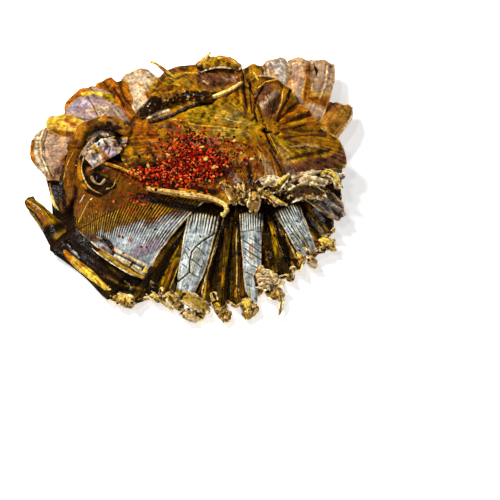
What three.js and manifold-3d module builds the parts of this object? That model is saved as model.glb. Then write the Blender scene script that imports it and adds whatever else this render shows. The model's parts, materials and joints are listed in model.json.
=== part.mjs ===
// A dried stingray: one ray, gutted, opened flat and dried until its disc has shrunk into pleats.
// It lies in two tiers. The lower tier fans out in folds and petals all round. The upper tier is
// the thick middle of the body, a crown that has lifted off the folds, with chilli scattered on it.
// Millimetres, +Z up. The open front of the fan faces -Y, and the ray lies on z = 0.

import * as THREE from 'three';
import { mergeVertices } from 'three/addons/utils/BufferGeometryUtils.js';
import Module from 'manifold-3d';

const wasm = await Module();
wasm.setup();

// ---- Driving dimensions ------------------------------------------------------------------

const SKIN = 2.4; // thickness of a dried petal
const MIDDLE = [2.77, -2.4]; // middle of the ray's outline, as laid out below

// Lower tier: a disc whose folds run out from a pole under the crown.
const FAN_POLE = [35, 48, 24];
const FAN_RIM = [
  [112, -26, 7], [117, -4, 8], [112, 22, 7], [104, 48, 6], [92, 72, 6], [66, 84, 6], [30, 82, 7],
  [-4, 76, 7], [-36, 70, 6], [-66, 58, 5], [-88, 40, 5], [-98, 18, 5], [-102, -4, 5], [-103, -26, 4],
  [-99, -50, 4], [-84, -73, 4], [-60, -93, 4], [-36, -99, 4], [-12, -95, 5], [4, -103, 4],
  [22, -104, 5], [44, -101, 5], [58, -92, 5], [76, -77, 6], [92, -63, 7], [105, -47, 7],
];
const FAN_LIES_FLAT_TO = 0.7; // share of the way to the rim that rests on the board
const FAN_FOLDS = [238, 244, 250, 262, 266.5, 271, 283.5, 287.5, 291, 302, 309, 317]; // degrees
const FAN_FOLD_DEPTH = 6;
const FAN_CREST = 0.4; // share of a fold's depth that its crest stands above the fan's slope
const FAN_FOLDS_FROM = [0.25, 0.7]; // share of the way out where the folds begin and are full
const FAN_LIFT = 2; // how far the folds stand above the rim's own points
const FAN_SLOPE = 0.9; // below 1 the fan falls fastest near its pole
const FAN_GRID = [3, 5]; // facets for each fold and out
const FAN_SCALLOP = 0.05; // share by which the rim draws in between two folds
const BACK_FOLDS = 14; // the gaps round the back, from the last front fold to the first

// The thick middle of the body, between the two tiers.
const CORE = { centre: [2, 18], reach: [88, 36], low: 12, high: 33, climbs: [-45, 45], edge: 5 };
const CORE_GRID = [24, 3];
const CORE_UNDER = 1; // how high its underside lies, inside the lower tier

// Upper tier: a crown about the point where all its fibres meet.
const CROWN_HUB = [58, 28, 37];
const CROWN_RIM = [
  [115, 7, 20], [114, 20, 23], [106, 30, 26], [97, 37, 28], [91, 48, 27], [81, 58, 27],
  [76, 69, 26], [65, 79, 25], [52, 80, 26], [44, 76, 29], [39, 85, 33], [11, 87, 34],
  [-13, 84, 32], [-22, 73, 29], [-28, 60, 28], [-38, 46, 27], [-46, 30, 26], [-46, 12, 25],
  [-35, -5, 27], [-27, -18, 30], [-8, -22, 31], [16, -26, 31], [29, -30, 30], [40, -25, 29],
  [55, -23, 26], [68, -15, 26], [76, -6, 26], [96, 2, 23],
];
const CROWN_CREASES = [-63, -21, 7, 30, 51, 73, 105]; // degrees about the hub
const CROWN_ARCH = 5;
const CROWN_ARCHES_FROM = [0.1, 0.8]; // share of the way out where the arches begin and are full
const CROWN_SLOPE = 1.4; // above 1 the crown is flattest round its hub
const CROWN_GRID = [56, 5]; // facets round and out
const BOWL = { centre: [4, 4], reach: [42, 24], depth: 3.5 }; // the hollow that holds the chilli

// The left wing of the lower tier: a broad ribbed sheet that ends in a folded tip.
const WING = {
  left: [[-76, 22, 21], [-80, -14, 17], [-78, -39, 12]],
  right: [[20, -18, 25], [-9, -46, 16], [-27, -77, 5]],
  arch: 6,
  bulge: 5,
  grid: [12, 8],
};

// The eye: a torn socket in the wing, with a brown brow over it and a crumpled skin inside.
const SOCKET = { centre: [-62, -3], reach: [13, 12], depth: 8 };
const BROW = {
  path: [[-80, 22, 20], [-75, 35, 26], [-61, 41, 28], [-48, 38, 28], [-40, 30, 26]],
  thick: 9,
};
const EYE_SKIN = { root: [-74, 9, 20], crest: [-59, 19, 28], tip: [-44, 26, 27], wide: [12, 21, 14] };
const EYE_RING = {
  path: [[-76, 16, 21], [-76, 3, 19], [-72, -9, 17], [-61, -16, 16], [-50, -9, 19], [-45, 6, 24]],
  thick: 3,
};
const EYE_LIP = { path: [[-69, 4, 17], [-66, -3, 17.5], [-61, -5, 17.5], [-56, 1, 17.5]], thick: 3 };

// Pale panels of skin that stand proud of the folds, from under the crown down to the rim.
const STRIPS = [
  { root: [15.5, -19, 22], crest: [9.5, -53, 15.5], tip: [-0.5, -92, 5], wide: [20, 21, 17], arch: 2.5 },
  { root: [47, -17, 22], crest: [48, -54, 15.5], tip: [48.5, -97, 5], wide: [17, 14.5, 10], arch: 2.5 },
  { root: [68, -14, 22], crest: [80.5, -42, 15.5], tip: [91, -62, 7], wide: [16, 16, 13], arch: 2.5 },
];

// Petals at the back, from the left round to the right, each with its root under the crown.
const PETALS = [
  { root: [-54, 12, 9], crest: [-84, 21, 17], tip: [-112, 23, 15], wide: [30, 46, 48], arch: 4, curl: 3 },
  { root: [-56, 34, 12], crest: [-80, 41, 20], tip: [-101, 45, 18], wide: [20, 19, 18], arch: 5, curl: 1 },
  { root: [-40, 34, 12], crest: [-62, 55, 19], tip: [-78, 76, 12], wide: [40, 58, 50], arch: 5, curl: 2 },
  { root: [-28, 44, 14], crest: [-49, 67, 20], tip: [-60, 85, 14], wide: [20, 24, 20], arch: 4, curl: 2 },
  { root: [-16, 44, 14], crest: [-29, 69, 21], tip: [-39, 92, 14], wide: [20, 28, 25], arch: 4, curl: 2 },
  { root: [-6, 46, 14], crest: [-17, 72, 22], tip: [-23, 85, 17], wide: [14, 16, 13], arch: 3, curl: 1 },
  { root: [44, 50, 14], crest: [49, 78, 20], tip: [48, 98, 13], wide: [20, 24, 24], arch: 3, curl: 2 },
  { root: [62, 48, 14], crest: [67, 80, 20], tip: [63, 102, 12], wide: [12, 15, 17], arch: 4, curl: 2 },
  { root: [70, 46, 14], crest: [75, 78, 18], tip: [74, 101, 10], wide: [10, 11, 12], arch: 2, curl: 1 },
  { root: [76, 44, 14], crest: [83, 75, 20], tip: [84, 102, 12], wide: [15, 18, 17], arch: 4, curl: 2 },
  { root: [84, 38, 14], crest: [94, 70, 19], tip: [98, 100, 11], wide: [16, 20, 20], arch: 3, curl: 1 },
  { root: [84, 20, 12], crest: [104, 48, 16], tip: [113, 68, 9], wide: [20, 26, 24], arch: 3, curl: 1 },
  { root: [80, -2, 15], crest: [99, -18, 17], tip: [114, -30, 11], wide: [14, 17, 15], arch: 2, curl: 1 },
];
const PETAL_GRID = [4, 4];

// How a petal ends: from a share of its length its corners draw back and its sides draw in.
const PETAL_END = { from: 0.7, strength: 0.45, sides: 0.6, corners: 0.35 };
const PETAL_CURLS_FROM = 0.75;

// A stiff tongue of rim skin that sticks out at the left.
const TONGUE = {
  root: [-84, -50, 5], crest: [-100.5, -29.5, 8], tip: [-114, -15, 13], wide: [24, 13.5, 12], arch: 3,
};

// Curled edges of the crown at its front right.
const RIGHT_CURL = {
  root: [72, -4, 25], crest: [92, -2, 23], tip: [114, 2, 19], wide: [7, 13, 10], arch: 3,
};

// Cartilage rods and rolled edges, each a path of a few points and a thickness.
const RODS = [
  { path: [[-27, -18, 31.5], [-10, -21, 32.5], [16, -25, 32], [27, -29, 31], [31, -33, 29]], thick: 3.8 },
  { path: [[31, -32, 30], [29, -35, 27.5], [26.5, -36, 25]], thick: 3.6 },
  { path: [[-29, -15, 27], [-10, -18, 28.5], [14, -22, 28], [28, -28, 27]], thick: 6.4 },
  { path: [[-90, -50, 5], [-79, -63, 6], [-66, -75, 6.5], [-55, -86, 6], [-48, -95, 3.6]], thick: 5.4 },
  { path: [[10, 56, 34], [24, 59, 36.5], [33, 63, 38], [42, 70, 38]], thick: 3.2 },
  { path: [[-62, 10, 24], [-50, 4, 27], [-42, 0, 27.5], [-32, -6, 28]], thick: 2.4 },
  { path: [[-7, 76, 32], [-19, 84, 36], [-23, 86, 38], [-26, 87, 38]], thick: 2.2 },
  { path: [[10, 83, 34], [13, 88, 37], [17, 92, 39]], thick: 4 },
  { path: [[8, 85, 35], [22, 89, 37.5], [32, 88, 37.5], [41, 83, 34]], thick: 4.4 },
  { path: [[96, -2, 23], [104, -4, 25], [109, -7, 25], [109, -11, 20]], thick: 4.4 },
];

const ROD_GRID = [5, 6]; // facets round and along
const STUMP_GRID = [5, 4];
const ROLL_GRID = [7, 8];
const RING_GRID = [5, 8];
const KNOBS = { depth: 0.14, turns: 9, blunt: 8 }; // how lumpy and how blunt a rod is

// The dark fold that has rolled over at the crown's back left.
const ROLL = {
  path: [[-33, 44, 27], [-24, 53, 31], [-11, 59, 34], [4, 60, 35], [20, 57, 34.5]],
  thick: 9,
};

// Torn stumps of cartilage along the crown's front edge and at the fan's rim.
const STUMPS = [
  { path: [[26, -12, 32.5], [33, -20, 31], [36, -28, 26]], thick: 4 },
  { path: [[38, -16, 32], [41, -22, 30], [43, -28, 26.5]], thick: 4.4 },
  { path: [[46, -20, 29.5], [50, -27, 27], [50, -34, 23]], thick: 5 },
  { path: [[53, -15, 29], [60, -22, 27.5], [66, -28, 24.5]], thick: 4.6 },
  { path: [[63, -14, 28.5], [68, -10, 30], [72, -16, 27]], thick: 5 },
  { path: [[70, -10, 26], [81, -13, 23], [92, -16, 22], [98, -15, 19]], thick: 7 },
  { path: [[-16, -84, 6], [-14, -94, 5], [-8, -101, 3.4]], thick: 5 },
  { path: [[0, -86, 6], [8, -102, 4], [14, -108, 3.2]], thick: 5.6 },
  { path: [[20, -88, 6], [26, -105, 3.6], [34, -104, 4.6]], thick: 5 },
  { path: [[46, -88, 7], [47, -103, 3.6], [52, -98, 6]], thick: 5 },
  { path: [[52, -72, 11], [60, -80, 10], [64, -90, 4]], thick: 8 },
  { path: [[82, -60, 7.6], [77, -70, 5], [75, -78, 3.4]], thick: 4 },
  { path: [[92, -58, 8], [100, -52, 8.6], [108, -46, 8]], thick: 5.6 },
  { path: [[-30, -74, 6], [-25, -79, 5], [-22, -83, 3]], thick: 4 },
  { path: [[-56, -84, 5], [-46, -90, 4.4], [-36, -95, 3.6]], thick: 6 },
];

// Chilli flakes and seeds, fused where they lie in the bowl and a little past it.
const FLAKES = { count: 80, wide: 2.4, seed: 29, spread: 0.62 };
const SEEDS = { count: 9, wide: 3.2, seed: 71, spread: 0.7 };
const BIT_SIZES = [0.75, 1.2]; // smallest and largest, as shares of the usual width
const SPRINKLE_REACH = 1.15; // how far they lie, as a share of the bowl's reach
const CLEAR_OF_RIM = 0.93;
const TIP = 1.6; // radians that a bit may tip, from one side to the other
const SUNK = 0.1; // how far a bit's middle stands above the skin

// ---- Small helpers -----------------------------------------------------------------------

const RAD = Math.PI / 180;
const NEAR = 0.02; // a small step along a curve or a face, to see which way it runs
const RIM_SAMPLES = 720;
const DRAW_STEP = 16807; // the two numbers of a plain multiplying generator
const DRAW_ROUND = 2147483647;

function mix(a, b, t) {
  return a + (b - a) * t;
}

function smooth(low, high, x) {
  const t = Math.min(1, Math.max(0, (x - low) / (high - low)));
  return t * t * (3 - 2 * t);
}

/** A soft round dent or bump of height 1 at its centre and 0 from its reach outwards. */
function mound(x, y, { centre, reach }) {
  const d = Math.hypot((x - centre[0]) / reach[0], (y - centre[1]) / reach[1]);
  return 1 - smooth(0, 1, d);
}

/** The value at t of a smooth bend through three values at 0, a half and 1. */
function through(a, b, c, t) {
  const middle = 2 * b - (a + c) / 2;
  return (1 - t) * (1 - t) * a + 2 * t * (1 - t) * middle + t * t * c;
}

/** A repeatable stream of numbers from 0 to 1. */
function draws(seed) {
  let state = seed;
  return () => {
    state = (state * DRAW_STEP) % DRAW_ROUND;
    return state / DRAW_ROUND;
  };
}

/** How far an angle lies between its two neighbouring folds: 0 at each fold, 1 halfway. */
function betweenFolds(angle, folds) {
  const a = ((angle - folds[0]) % 360 + 360) % 360 + folds[0];
  for (let i = 0; i < folds.length; i += 1) {
    const from = folds[i];
    const to = i + 1 < folds.length ? folds[i + 1] : folds[0] + 360;
    if (a <= to) {
      return Math.sin(Math.PI * (a - from) / (to - from));
    }
  }
  return 0;
}

// ---- Geometry makers ---------------------------------------------------------------------

/** The triangles of a grid of points, without those that have shrunk to a line at a pole. */
function closedGeometry(points, triangles) {
  const raw = new THREE.BufferGeometry();
  raw.setAttribute('position', new THREE.Float32BufferAttribute(points.flat(), 3));
  raw.setIndex(triangles.flat());
  const merged = mergeVertices(raw, 1e-3);
  const index = merged.getIndex().array;
  const kept = [];
  for (let i = 0; i < index.length; i += 3) {
    const [a, b, c] = [index[i], index[i + 1], index[i + 2]];
    if (a !== b && b !== c && c !== a) {
      kept.push(a, b, c);
    }
  }
  merged.setIndex(kept);
  return merged;
}

/** The upward normal of a face given by top(u, v). */
function normalAt(top, u, v) {
  const [u0, u1] = [Math.max(0, u - NEAR / 2), Math.min(1, u + NEAR / 2)];
  const [v0, v1] = [Math.max(NEAR, v - NEAR / 2), Math.min(1, Math.max(v, NEAR) + NEAR / 2)];
  const along = new THREE.Vector3(...top(u, v1)).sub(new THREE.Vector3(...top(u, v0)));
  const across = new THREE.Vector3(...top(u1, v)).sub(new THREE.Vector3(...top(u0, v)));
  const normal = across.cross(along);
  if (normal.length() < 1e-6) {
    return new THREE.Vector3(0, 0, 1);
  }
  normal.normalize();
  return normal.z < 0 ? normal.negate() : normal;
}

/** A skin: top(u, v) is its upper face and it is `thick` through. With `round` it closes in u. */
function skin(top, columns, rows, { thick = SKIN, round = false, under = null } = {}) {
  const points = [];
  const triangles = [];
  const wide = round ? columns : columns + 1;
  const at = (side, i, j) => side * wide * (rows + 1) + (i % wide) + j * wide;
  for (const side of [0, 1]) {
    for (let j = 0; j <= rows; j += 1) {
      for (let i = 0; i < wide; i += 1) {
        const [u, v] = [i / columns, j / rows];
        const p = new THREE.Vector3(...top(u, v));
        p.z = Math.max(p.z, thick);
        if (side === 1) {
          const deep = new THREE.Vector3().copy(p).addScaledVector(normalAt(top, u, v), -thick);
          const floor = under ? under(u, v, p) : deep.z;
          p.set(under ? p.x : deep.x, under ? p.y : deep.y, Math.max(0, floor));
        }
        points.push(p.toArray());
      }
    }
  }
  for (let j = 0; j < rows; j += 1) {
    for (let i = 0; i < columns; i += 1) {
      const [a, b, c, d] = [at(0, i, j), at(0, i + 1, j), at(0, i + 1, j + 1), at(0, i, j + 1)];
      const [e, f, g, h] = [at(1, i, j), at(1, i + 1, j), at(1, i + 1, j + 1), at(1, i, j + 1)];
      triangles.push([a, b, c], [a, c, d], [e, g, f], [e, h, g]);
    }
  }
  for (let i = 0; i < columns; i += 1) {
    triangles.push([at(0, i, rows), at(0, i + 1, rows), at(1, i + 1, rows)]);
    triangles.push([at(0, i, rows), at(1, i + 1, rows), at(1, i, rows)]);
    if (!round) {
      triangles.push([at(0, i + 1, 0), at(0, i, 0), at(1, i, 0)]);
      triangles.push([at(0, i + 1, 0), at(1, i, 0), at(1, i + 1, 0)]);
    }
  }
  if (!round) {
    for (let j = 0; j < rows; j += 1) {
      triangles.push([at(0, 0, j), at(0, 0, j + 1), at(1, 0, j + 1)]);
      triangles.push([at(0, 0, j), at(1, 0, j + 1), at(1, 0, j)]);
      triangles.push([at(0, columns, j + 1), at(0, columns, j), at(1, columns, j)]);
      triangles.push([at(0, columns, j + 1), at(1, columns, j), at(1, columns, j + 1)]);
    }
  }
  return solidOf(closedGeometry(points, triangles));
}

/** A closed geometry as a solid that can be joined. One that is inside out is turned first. */
function solidOf(geometry) {
  const vertProperties = Float32Array.from(geometry.getAttribute('position').array);
  const triVerts = Uint32Array.from(geometry.getIndex().array);
  let solid = new wasm.Manifold(new wasm.Mesh({ numProp: 3, vertProperties, triVerts }));
  if (solid.volume() < 0) {
    for (let i = 0; i < triVerts.length; i += 3) {
      [triVerts[i], triVerts[i + 1]] = [triVerts[i + 1], triVerts[i]];
    }
    solid = new wasm.Manifold(new wasm.Mesh({ numProp: 3, vertProperties, triVerts }));
  }
  return solid;
}

/** A closed outline through points, as a function of how far round it is, from 0 to 1. */
function outline(points) {
  const curve = new THREE.CatmullRomCurve3(
    points.map((p) => new THREE.Vector3(...p)), true, 'catmullrom', 0.5,
  );
  return (t) => curve.getPoint(((t % 1) + 1) % 1);
}

/** An outline seen from a pole inside it: how far off and how high it is at each angle. */
function rimFrom(pole, points) {
  const rim = outline(points);
  const seen = [];
  for (let i = 0; i < RIM_SAMPLES; i += 1) {
    const p = rim(i / RIM_SAMPLES);
    const [dx, dy] = [p.x - pole[0], p.y - pole[1]];
    seen.push({ angle: (Math.atan2(dy, dx) / RAD + 360) % 360, far: Math.hypot(dx, dy), z: p.z });
  }
  seen.sort((a, b) => a.angle - b.angle);
  seen.push({ ...seen[0], angle: seen[0].angle + 360 });
  return (angle) => {
    const a = ((angle - seen[0].angle) % 360 + 360) % 360 + seen[0].angle;
    const k = Math.max(1, seen.findIndex((s) => s.angle >= a));
    const [from, to] = [seen[k - 1], seen[k]];
    const t = (a - from.angle) / (to.angle - from.angle);
    return { far: mix(from.far, to.far, t), z: mix(from.z, to.z, t) };
  };
}

/** The upper face of a petal: a bent strip, arched across, rounded and curled up at its tip. */
function petalTop({ root, crest, tip, wide, arch = 0, curl = 0 }) {
  const spine = (v) => [0, 1, 2].map((k) => through(root[k], crest[k], tip[k], v));
  return (u, v) => {
    const [x, y, z] = spine(v);
    const [ax, ay] = spine(Math.max(0, v - NEAR));
    const [bx, by] = spine(Math.min(1, v + NEAR));
    const length = Math.hypot(bx - ax, by - ay);
    const across = u * 2 - 1;
    const end = smooth(PETAL_END.from, 1, v) * PETAL_END.strength * across * across;
    const half = through(...wide, v) / 2 * (1 - end * PETAL_END.sides);
    const back = end * wide[1] * PETAL_END.corners;
    const [tx, ty] = [(bx - ax) / length, (by - ay) / length];
    const lift = arch * (1 - across * across) * Math.sin(Math.PI * Math.min(1, 0.1 + v * 0.8));
    return [
      x + ty * across * half - tx * back,
      y - tx * across * half - ty * back,
      z + lift + curl * smooth(PETAL_CURLS_FROM, 1, v),
    ];
  };
}

/** A knobbly rod along a path, tapered at both ends. */
function rod({ path, thick }, [sides, steps] = ROD_GRID) {
  const curve = new THREE.CatmullRomCurve3(path.map((p) => new THREE.Vector3(...p)));
  const points = [];
  const triangles = [];
  for (let j = 0; j <= steps; j += 1) {
    const v = j / steps;
    const centre = curve.getPoint(v);
    const along = curve.getTangent(v);
    const side = new THREE.Vector3(along.y, -along.x, 0).normalize();
    const up = new THREE.Vector3().crossVectors(side, along).normalize();
    const knob = 1 + KNOBS.depth * Math.sin(KNOBS.turns * v + path[0][0]);
    const end = Math.sqrt(Math.max(0, 1 - (2 * v - 1) ** KNOBS.blunt));
    for (let i = 0; i < sides; i += 1) {
      const turn = 2 * Math.PI * i / sides;
      const p = centre.clone();
      p.addScaledVector(side, Math.cos(turn) * thick / 2 * knob * end);
      p.addScaledVector(up, Math.sin(turn) * thick / 2 * knob * end);
      p.z = Math.max(p.z, 0);
      points.push(p.toArray());
    }
  }
  for (let j = 0; j < steps; j += 1) {
    for (let i = 0; i < sides; i += 1) {
      const k = (i + 1) % sides;
      const [a, b, c, d] = [j * sides + i, j * sides + k, (j + 1) * sides + k, (j + 1) * sides + i];
      triangles.push([a, b, c], [a, c, d]);
    }
  }
  return solidOf(closedGeometry(points, triangles));
}

// ---- The ray -----------------------------------------------------------------------------

/** The lower tier: flat on the board in its middle, its rim lifted and drawn into folds. */
function fan() {
  const folds = [...FAN_FOLDS];
  const [first, last] = [FAN_FOLDS[0], FAN_FOLDS[FAN_FOLDS.length - 1]];
  for (let k = 1; k <= BACK_FOLDS; k += 1) {
    folds.push(mix(last, first + 360, k / BACK_FOLDS));
  }
  const gaps = folds.length - 1;
  const rimAt = rimFrom(FAN_POLE, FAN_RIM);
  const top = (u, v) => {
    const gap = Math.min(gaps - 1, Math.floor(u * gaps));
    const between = u * gaps - gap;
    const angle = mix(folds[gap], folds[gap + 1], between);
    const rim = rimAt(angle);
    const dip = Math.sin(Math.PI * between) * smooth(...FAN_FOLDS_FROM, v);
    const far = rim.far * v * (1 - FAN_SCALLOP * dip * v);
    const level = mix(FAN_POLE[2], rim.z + FAN_LIFT, v ** FAN_SLOPE);
    return [
      FAN_POLE[0] + far * Math.cos(angle * RAD),
      FAN_POLE[1] + far * Math.sin(angle * RAD),
      level + FAN_FOLD_DEPTH * (FAN_CREST - dip),
    ];
  };
  const under = (u, v, p) => {
    const rise = (v - FAN_LIES_FLAT_TO) / (1 - FAN_LIES_FLAT_TO);
    return rise < 0 ? 0 : mix(0, p.z - SKIN, rise);
  };
  return skin(top, gaps * FAN_GRID[0], FAN_GRID[1], { round: true, under });
}

/** The body between the tiers, lower at the eye and highest under the crown's hub. */
function core() {
  const { centre, reach, low, high, climbs, edge } = CORE;
  const top = (u, v) => {
    const [dx, dy] = [Math.cos(2 * Math.PI * u), Math.sin(2 * Math.PI * u)];
    const [x, y] = [centre[0] + reach[0] * v * dx, centre[1] + reach[1] * v * dy];
    return [x, y, mix(mix(low, high, smooth(...climbs, x)), edge, v ** 3)];
  };
  return skin(top, ...CORE_GRID, { round: true, under: () => CORE_UNDER });
}

/** The upper face of the crown. */
function crownTop(u, v) {
  const edge = crownRim(u);
  const [x, y] = [mix(CROWN_HUB[0], edge.x, v), mix(CROWN_HUB[1], edge.y, v)];
  const angle = Math.atan2(edge.y - CROWN_HUB[1], edge.x - CROWN_HUB[0]) / RAD;
  const last = CROWN_CREASES[CROWN_CREASES.length - 1];
  const creased = angle >= CROWN_CREASES[0] && angle <= last;
  const round = creased ? betweenFolds(angle, CROWN_CREASES) : 0;
  const arch = CROWN_ARCH * round * smooth(...CROWN_ARCHES_FROM, v);
  const sag = BOWL.depth * mound(x, y, BOWL);
  return [x, y, mix(CROWN_HUB[2], edge.z, v ** CROWN_SLOPE) + arch - sag];
}

const crownRim = outline(CROWN_RIM);

/** The wing, ruled between its two sides, bulging at its front edge, with the socket sunk in it. */
function wing() {
  const { left, right, arch, bulge, grid } = WING;
  const top = (u, v) => {
    const l = [0, 1, 2].map((k) => through(left[0][k], left[1][k], left[2][k], v));
    const r = [0, 1, 2].map((k) => through(right[0][k], right[1][k], right[2][k], v));
    const round = Math.sin(Math.PI * u);
    const [x, y] = [mix(l[0], r[0], u), mix(l[1], r[1], u) - bulge * round * v];
    const lift = arch * round * (0.4 + 0.6 * Math.sin(Math.PI * v));
    return [x, y, mix(l[2], r[2], u) + lift - SOCKET.depth * mound(x, y, SOCKET)];
  };
  return skin(top, ...grid);
}

/** The point of the crown's flat facets at (u, v). */
function onCrown(u, v) {
  const [columns, rows] = CROWN_GRID;
  const i = Math.min(columns - 1, Math.floor(u * columns));
  const j = Math.min(rows - 1, Math.floor(v * rows));
  const [s, t] = [u * columns - i, v * rows - j];
  const at = (di, dj) => crownTop((i + di) / columns, (j + dj) / rows);
  const [a, b, c, d] = [at(0, 0), at(1, 0), at(1, 1), at(0, 1)];
  return a.map((low, k) => {
    const lower = low + s * (b[k] - low) + t * (c[k] - b[k]);
    const upper = low + t * (d[k] - low) + s * (c[k] - d[k]);
    return s > t ? lower : upper;
  });
}

/** Small chips or grains set into the bowl's upper face, thickest in its middle. */
function sprinkle({ count, wide, seed, spread }, shape) {
  const draw = draws(seed);
  const placed = [];
  while (placed.length < count) {
    const [u, v] = [draw(), draw()];
    const [x, y, z] = onCrown(u, v);
    const thick = mound(x, y, { centre: BOWL.centre, reach: BOWL.reach.map((r) => r * SPRINKLE_REACH) });
    const [keep, size, turn, tip] = [draw(), draw(), draw(), draw()];
    if (v > CLEAR_OF_RIM || keep > thick * spread) {
      continue;
    }
    const chip = shape(wide / 2 * mix(...BIT_SIZES, size));
    chip.rotateX((tip - 0.5) * TIP);
    chip.rotateZ(turn * 2 * Math.PI);
    chip.translate(x, y, z + SUNK);
    chip.deleteAttribute('normal');
    chip.deleteAttribute('uv');
    placed.push(solidOf(mergeVertices(chip, 1e-4)));
  }
  return placed;
}

function flake(radius) {
  return new THREE.TetrahedronGeometry(radius * 1.25).scale(1, 0.8, 0.6);
}

function seed(radius) {
  return new THREE.OctahedronGeometry(radius).scale(1, 0.8, 0.5);
}

// ---- Joining -----------------------------------------------------------------------------

const petals = [...PETALS, ...STRIPS, TONGUE, RIGHT_CURL, EYE_SKIN];
const pieces = [
  fan(),
  core(),
  wing(),
  skin(crownTop, ...CROWN_GRID, { round: true }),
  ...petals.map((petal) => skin(petalTop(petal), ...PETAL_GRID)),
  ...[...RODS, EYE_LIP].map((piece) => rod(piece)),
  ...STUMPS.map((piece) => rod(piece, STUMP_GRID)),
  ...[ROLL, BROW].map((piece) => rod(piece, ROLL_GRID)),
  rod(EYE_RING, RING_GRID),
  ...sprinkle(FLAKES, flake),
  ...sprinkle(SEEDS, seed),
];

let whole = pieces[0];
for (const piece of pieces.slice(1)) {
  whole = whole.add(piece);
}

const mesh = whole.getMesh();
const geometry = new THREE.BufferGeometry();
geometry.setAttribute('position', new THREE.Float32BufferAttribute(mesh.vertProperties, 3));
geometry.setIndex(new THREE.Uint32BufferAttribute(mesh.triVerts, 1));
geometry.translate(-MIDDLE[0], -MIDDLE[1], 0);

const drySkin = new THREE.MeshStandardMaterial({ color: '#8a5a14', roughness: 0.35, metalness: 0 });
const stingray = new THREE.Mesh(geometry, drySkin);
stingray.name = 'stingray';

const group = new THREE.Group();
group.add(stingray);

export default group;
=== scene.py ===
# %% [markdown]
# # A dried stingray, opened flat and sprinkled with chilli
# The ray was gutted, spread and dried in the sun. Drying pulled its disc into deep pleats, lifted
# the thick middle off them and left a hard, glossy skin: amber where it is thin, silver where the
# belly skin still lies on it, cream where cartilage is torn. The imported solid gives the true
# places, and here each sheet of skin is laid over the same forms, much finer, and dressed.

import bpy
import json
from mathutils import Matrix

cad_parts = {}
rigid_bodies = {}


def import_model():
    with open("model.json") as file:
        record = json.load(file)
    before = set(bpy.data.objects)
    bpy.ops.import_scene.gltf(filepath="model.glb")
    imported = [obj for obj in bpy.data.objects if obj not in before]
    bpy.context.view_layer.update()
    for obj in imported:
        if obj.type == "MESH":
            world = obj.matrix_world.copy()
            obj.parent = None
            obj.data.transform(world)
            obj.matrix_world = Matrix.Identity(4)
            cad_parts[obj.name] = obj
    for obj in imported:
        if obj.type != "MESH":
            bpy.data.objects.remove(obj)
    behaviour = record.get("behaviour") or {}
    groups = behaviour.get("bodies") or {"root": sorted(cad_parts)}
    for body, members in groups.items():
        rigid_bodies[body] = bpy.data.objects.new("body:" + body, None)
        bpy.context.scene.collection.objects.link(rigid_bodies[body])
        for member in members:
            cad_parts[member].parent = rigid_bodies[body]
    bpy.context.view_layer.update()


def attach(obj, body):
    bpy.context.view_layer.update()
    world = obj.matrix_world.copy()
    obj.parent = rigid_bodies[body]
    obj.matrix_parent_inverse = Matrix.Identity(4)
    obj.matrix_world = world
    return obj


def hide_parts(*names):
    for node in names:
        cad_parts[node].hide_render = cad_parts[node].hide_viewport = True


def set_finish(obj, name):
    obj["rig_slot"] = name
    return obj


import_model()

# %% What the cells below use
import json
import math
from types import SimpleNamespace

import bpy
import numpy as np
from mathutils import Matrix, Vector
from mathutils.bvhtree import BVHTree

print("Blender", bpy.app.version_string)

# %% [markdown]
# ## Places
# All forms are laid out in millimetres about the hollow where the chilli lies, and moved to
# the frame's origin at the end. Marks on the skin, such as cracks and silver patches, are easiest
# to place on the photograph, so they are given in its pixels, and `in_photo` says which pixel
# a point of the skin is seen at. The marks become attributes of the mesh, so they stay on the
# skin from every side.

# %% Millimetres, pixels and the frame
MM = 0.001
MIDDLE = np.array([2.77, -2.4, 0.0])  # middle of the ray's outline in the layout
PIXEL = 0.72  # mm of the ray for one pixel of the photograph
LOOK_DOWN = math.radians(60)  # how steeply the photograph looks down
ORIGIN_PIXEL = (185, 190)  # where the layout's origin is seen
FRAME_PIXELS = 500


def in_photo(points):
    """The pixel that each layout point is seen at."""
    up = points[:, 1] * math.sin(LOOK_DOWN) + points[:, 2] * math.cos(LOOK_DOWN)
    return ORIGIN_PIXEL[0] + points[:, 0] / PIXEL, ORIGIN_PIXEL[1] - up / PIXEL


def from_photo(px, py, height):
    """The layout point at a height that is seen at a pixel."""
    up = (ORIGIN_PIXEL[1] - py) * PIXEL
    y = (up - height * math.cos(LOOK_DOWN)) / math.sin(LOOK_DOWN)
    return [(px - ORIGIN_PIXEL[0]) * PIXEL, y, height]


print("the left end of the cream rod lies at", from_photo(147, 190, 31.5))

# %% [markdown]
# ## Small shapes of numbers
# Everything below works on whole arrays of points at once. `smooth` fades, `mound` is a soft
# hill, `through` bends through three values and `cloud` is seeded noise, so that each run gives
# the same ray.

# %% Fades and hills


def mix(a, b, t):
    return a + (b - a) * t


def smooth(low, high, x):
    t = np.clip((x - low) / (high - low), 0, 1)
    return t * t * (3 - 2 * t)


def mound(x, y, centre, reach):
    return 1 - smooth(0, 1, np.hypot((x - centre[0]) / reach[0], (y - centre[1]) / reach[1]))


def through(a, b, c, t):
    middle = 2 * b - (a + c) / 2
    return (1 - t) ** 2 * a + 2 * t * (1 - t) * middle + t * t * c


print("half way up a mound of reach 10:", round(float(mound(5.0, 0.0, (0, 0), (10, 10))), 2))

# %% Seeded noise


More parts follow.
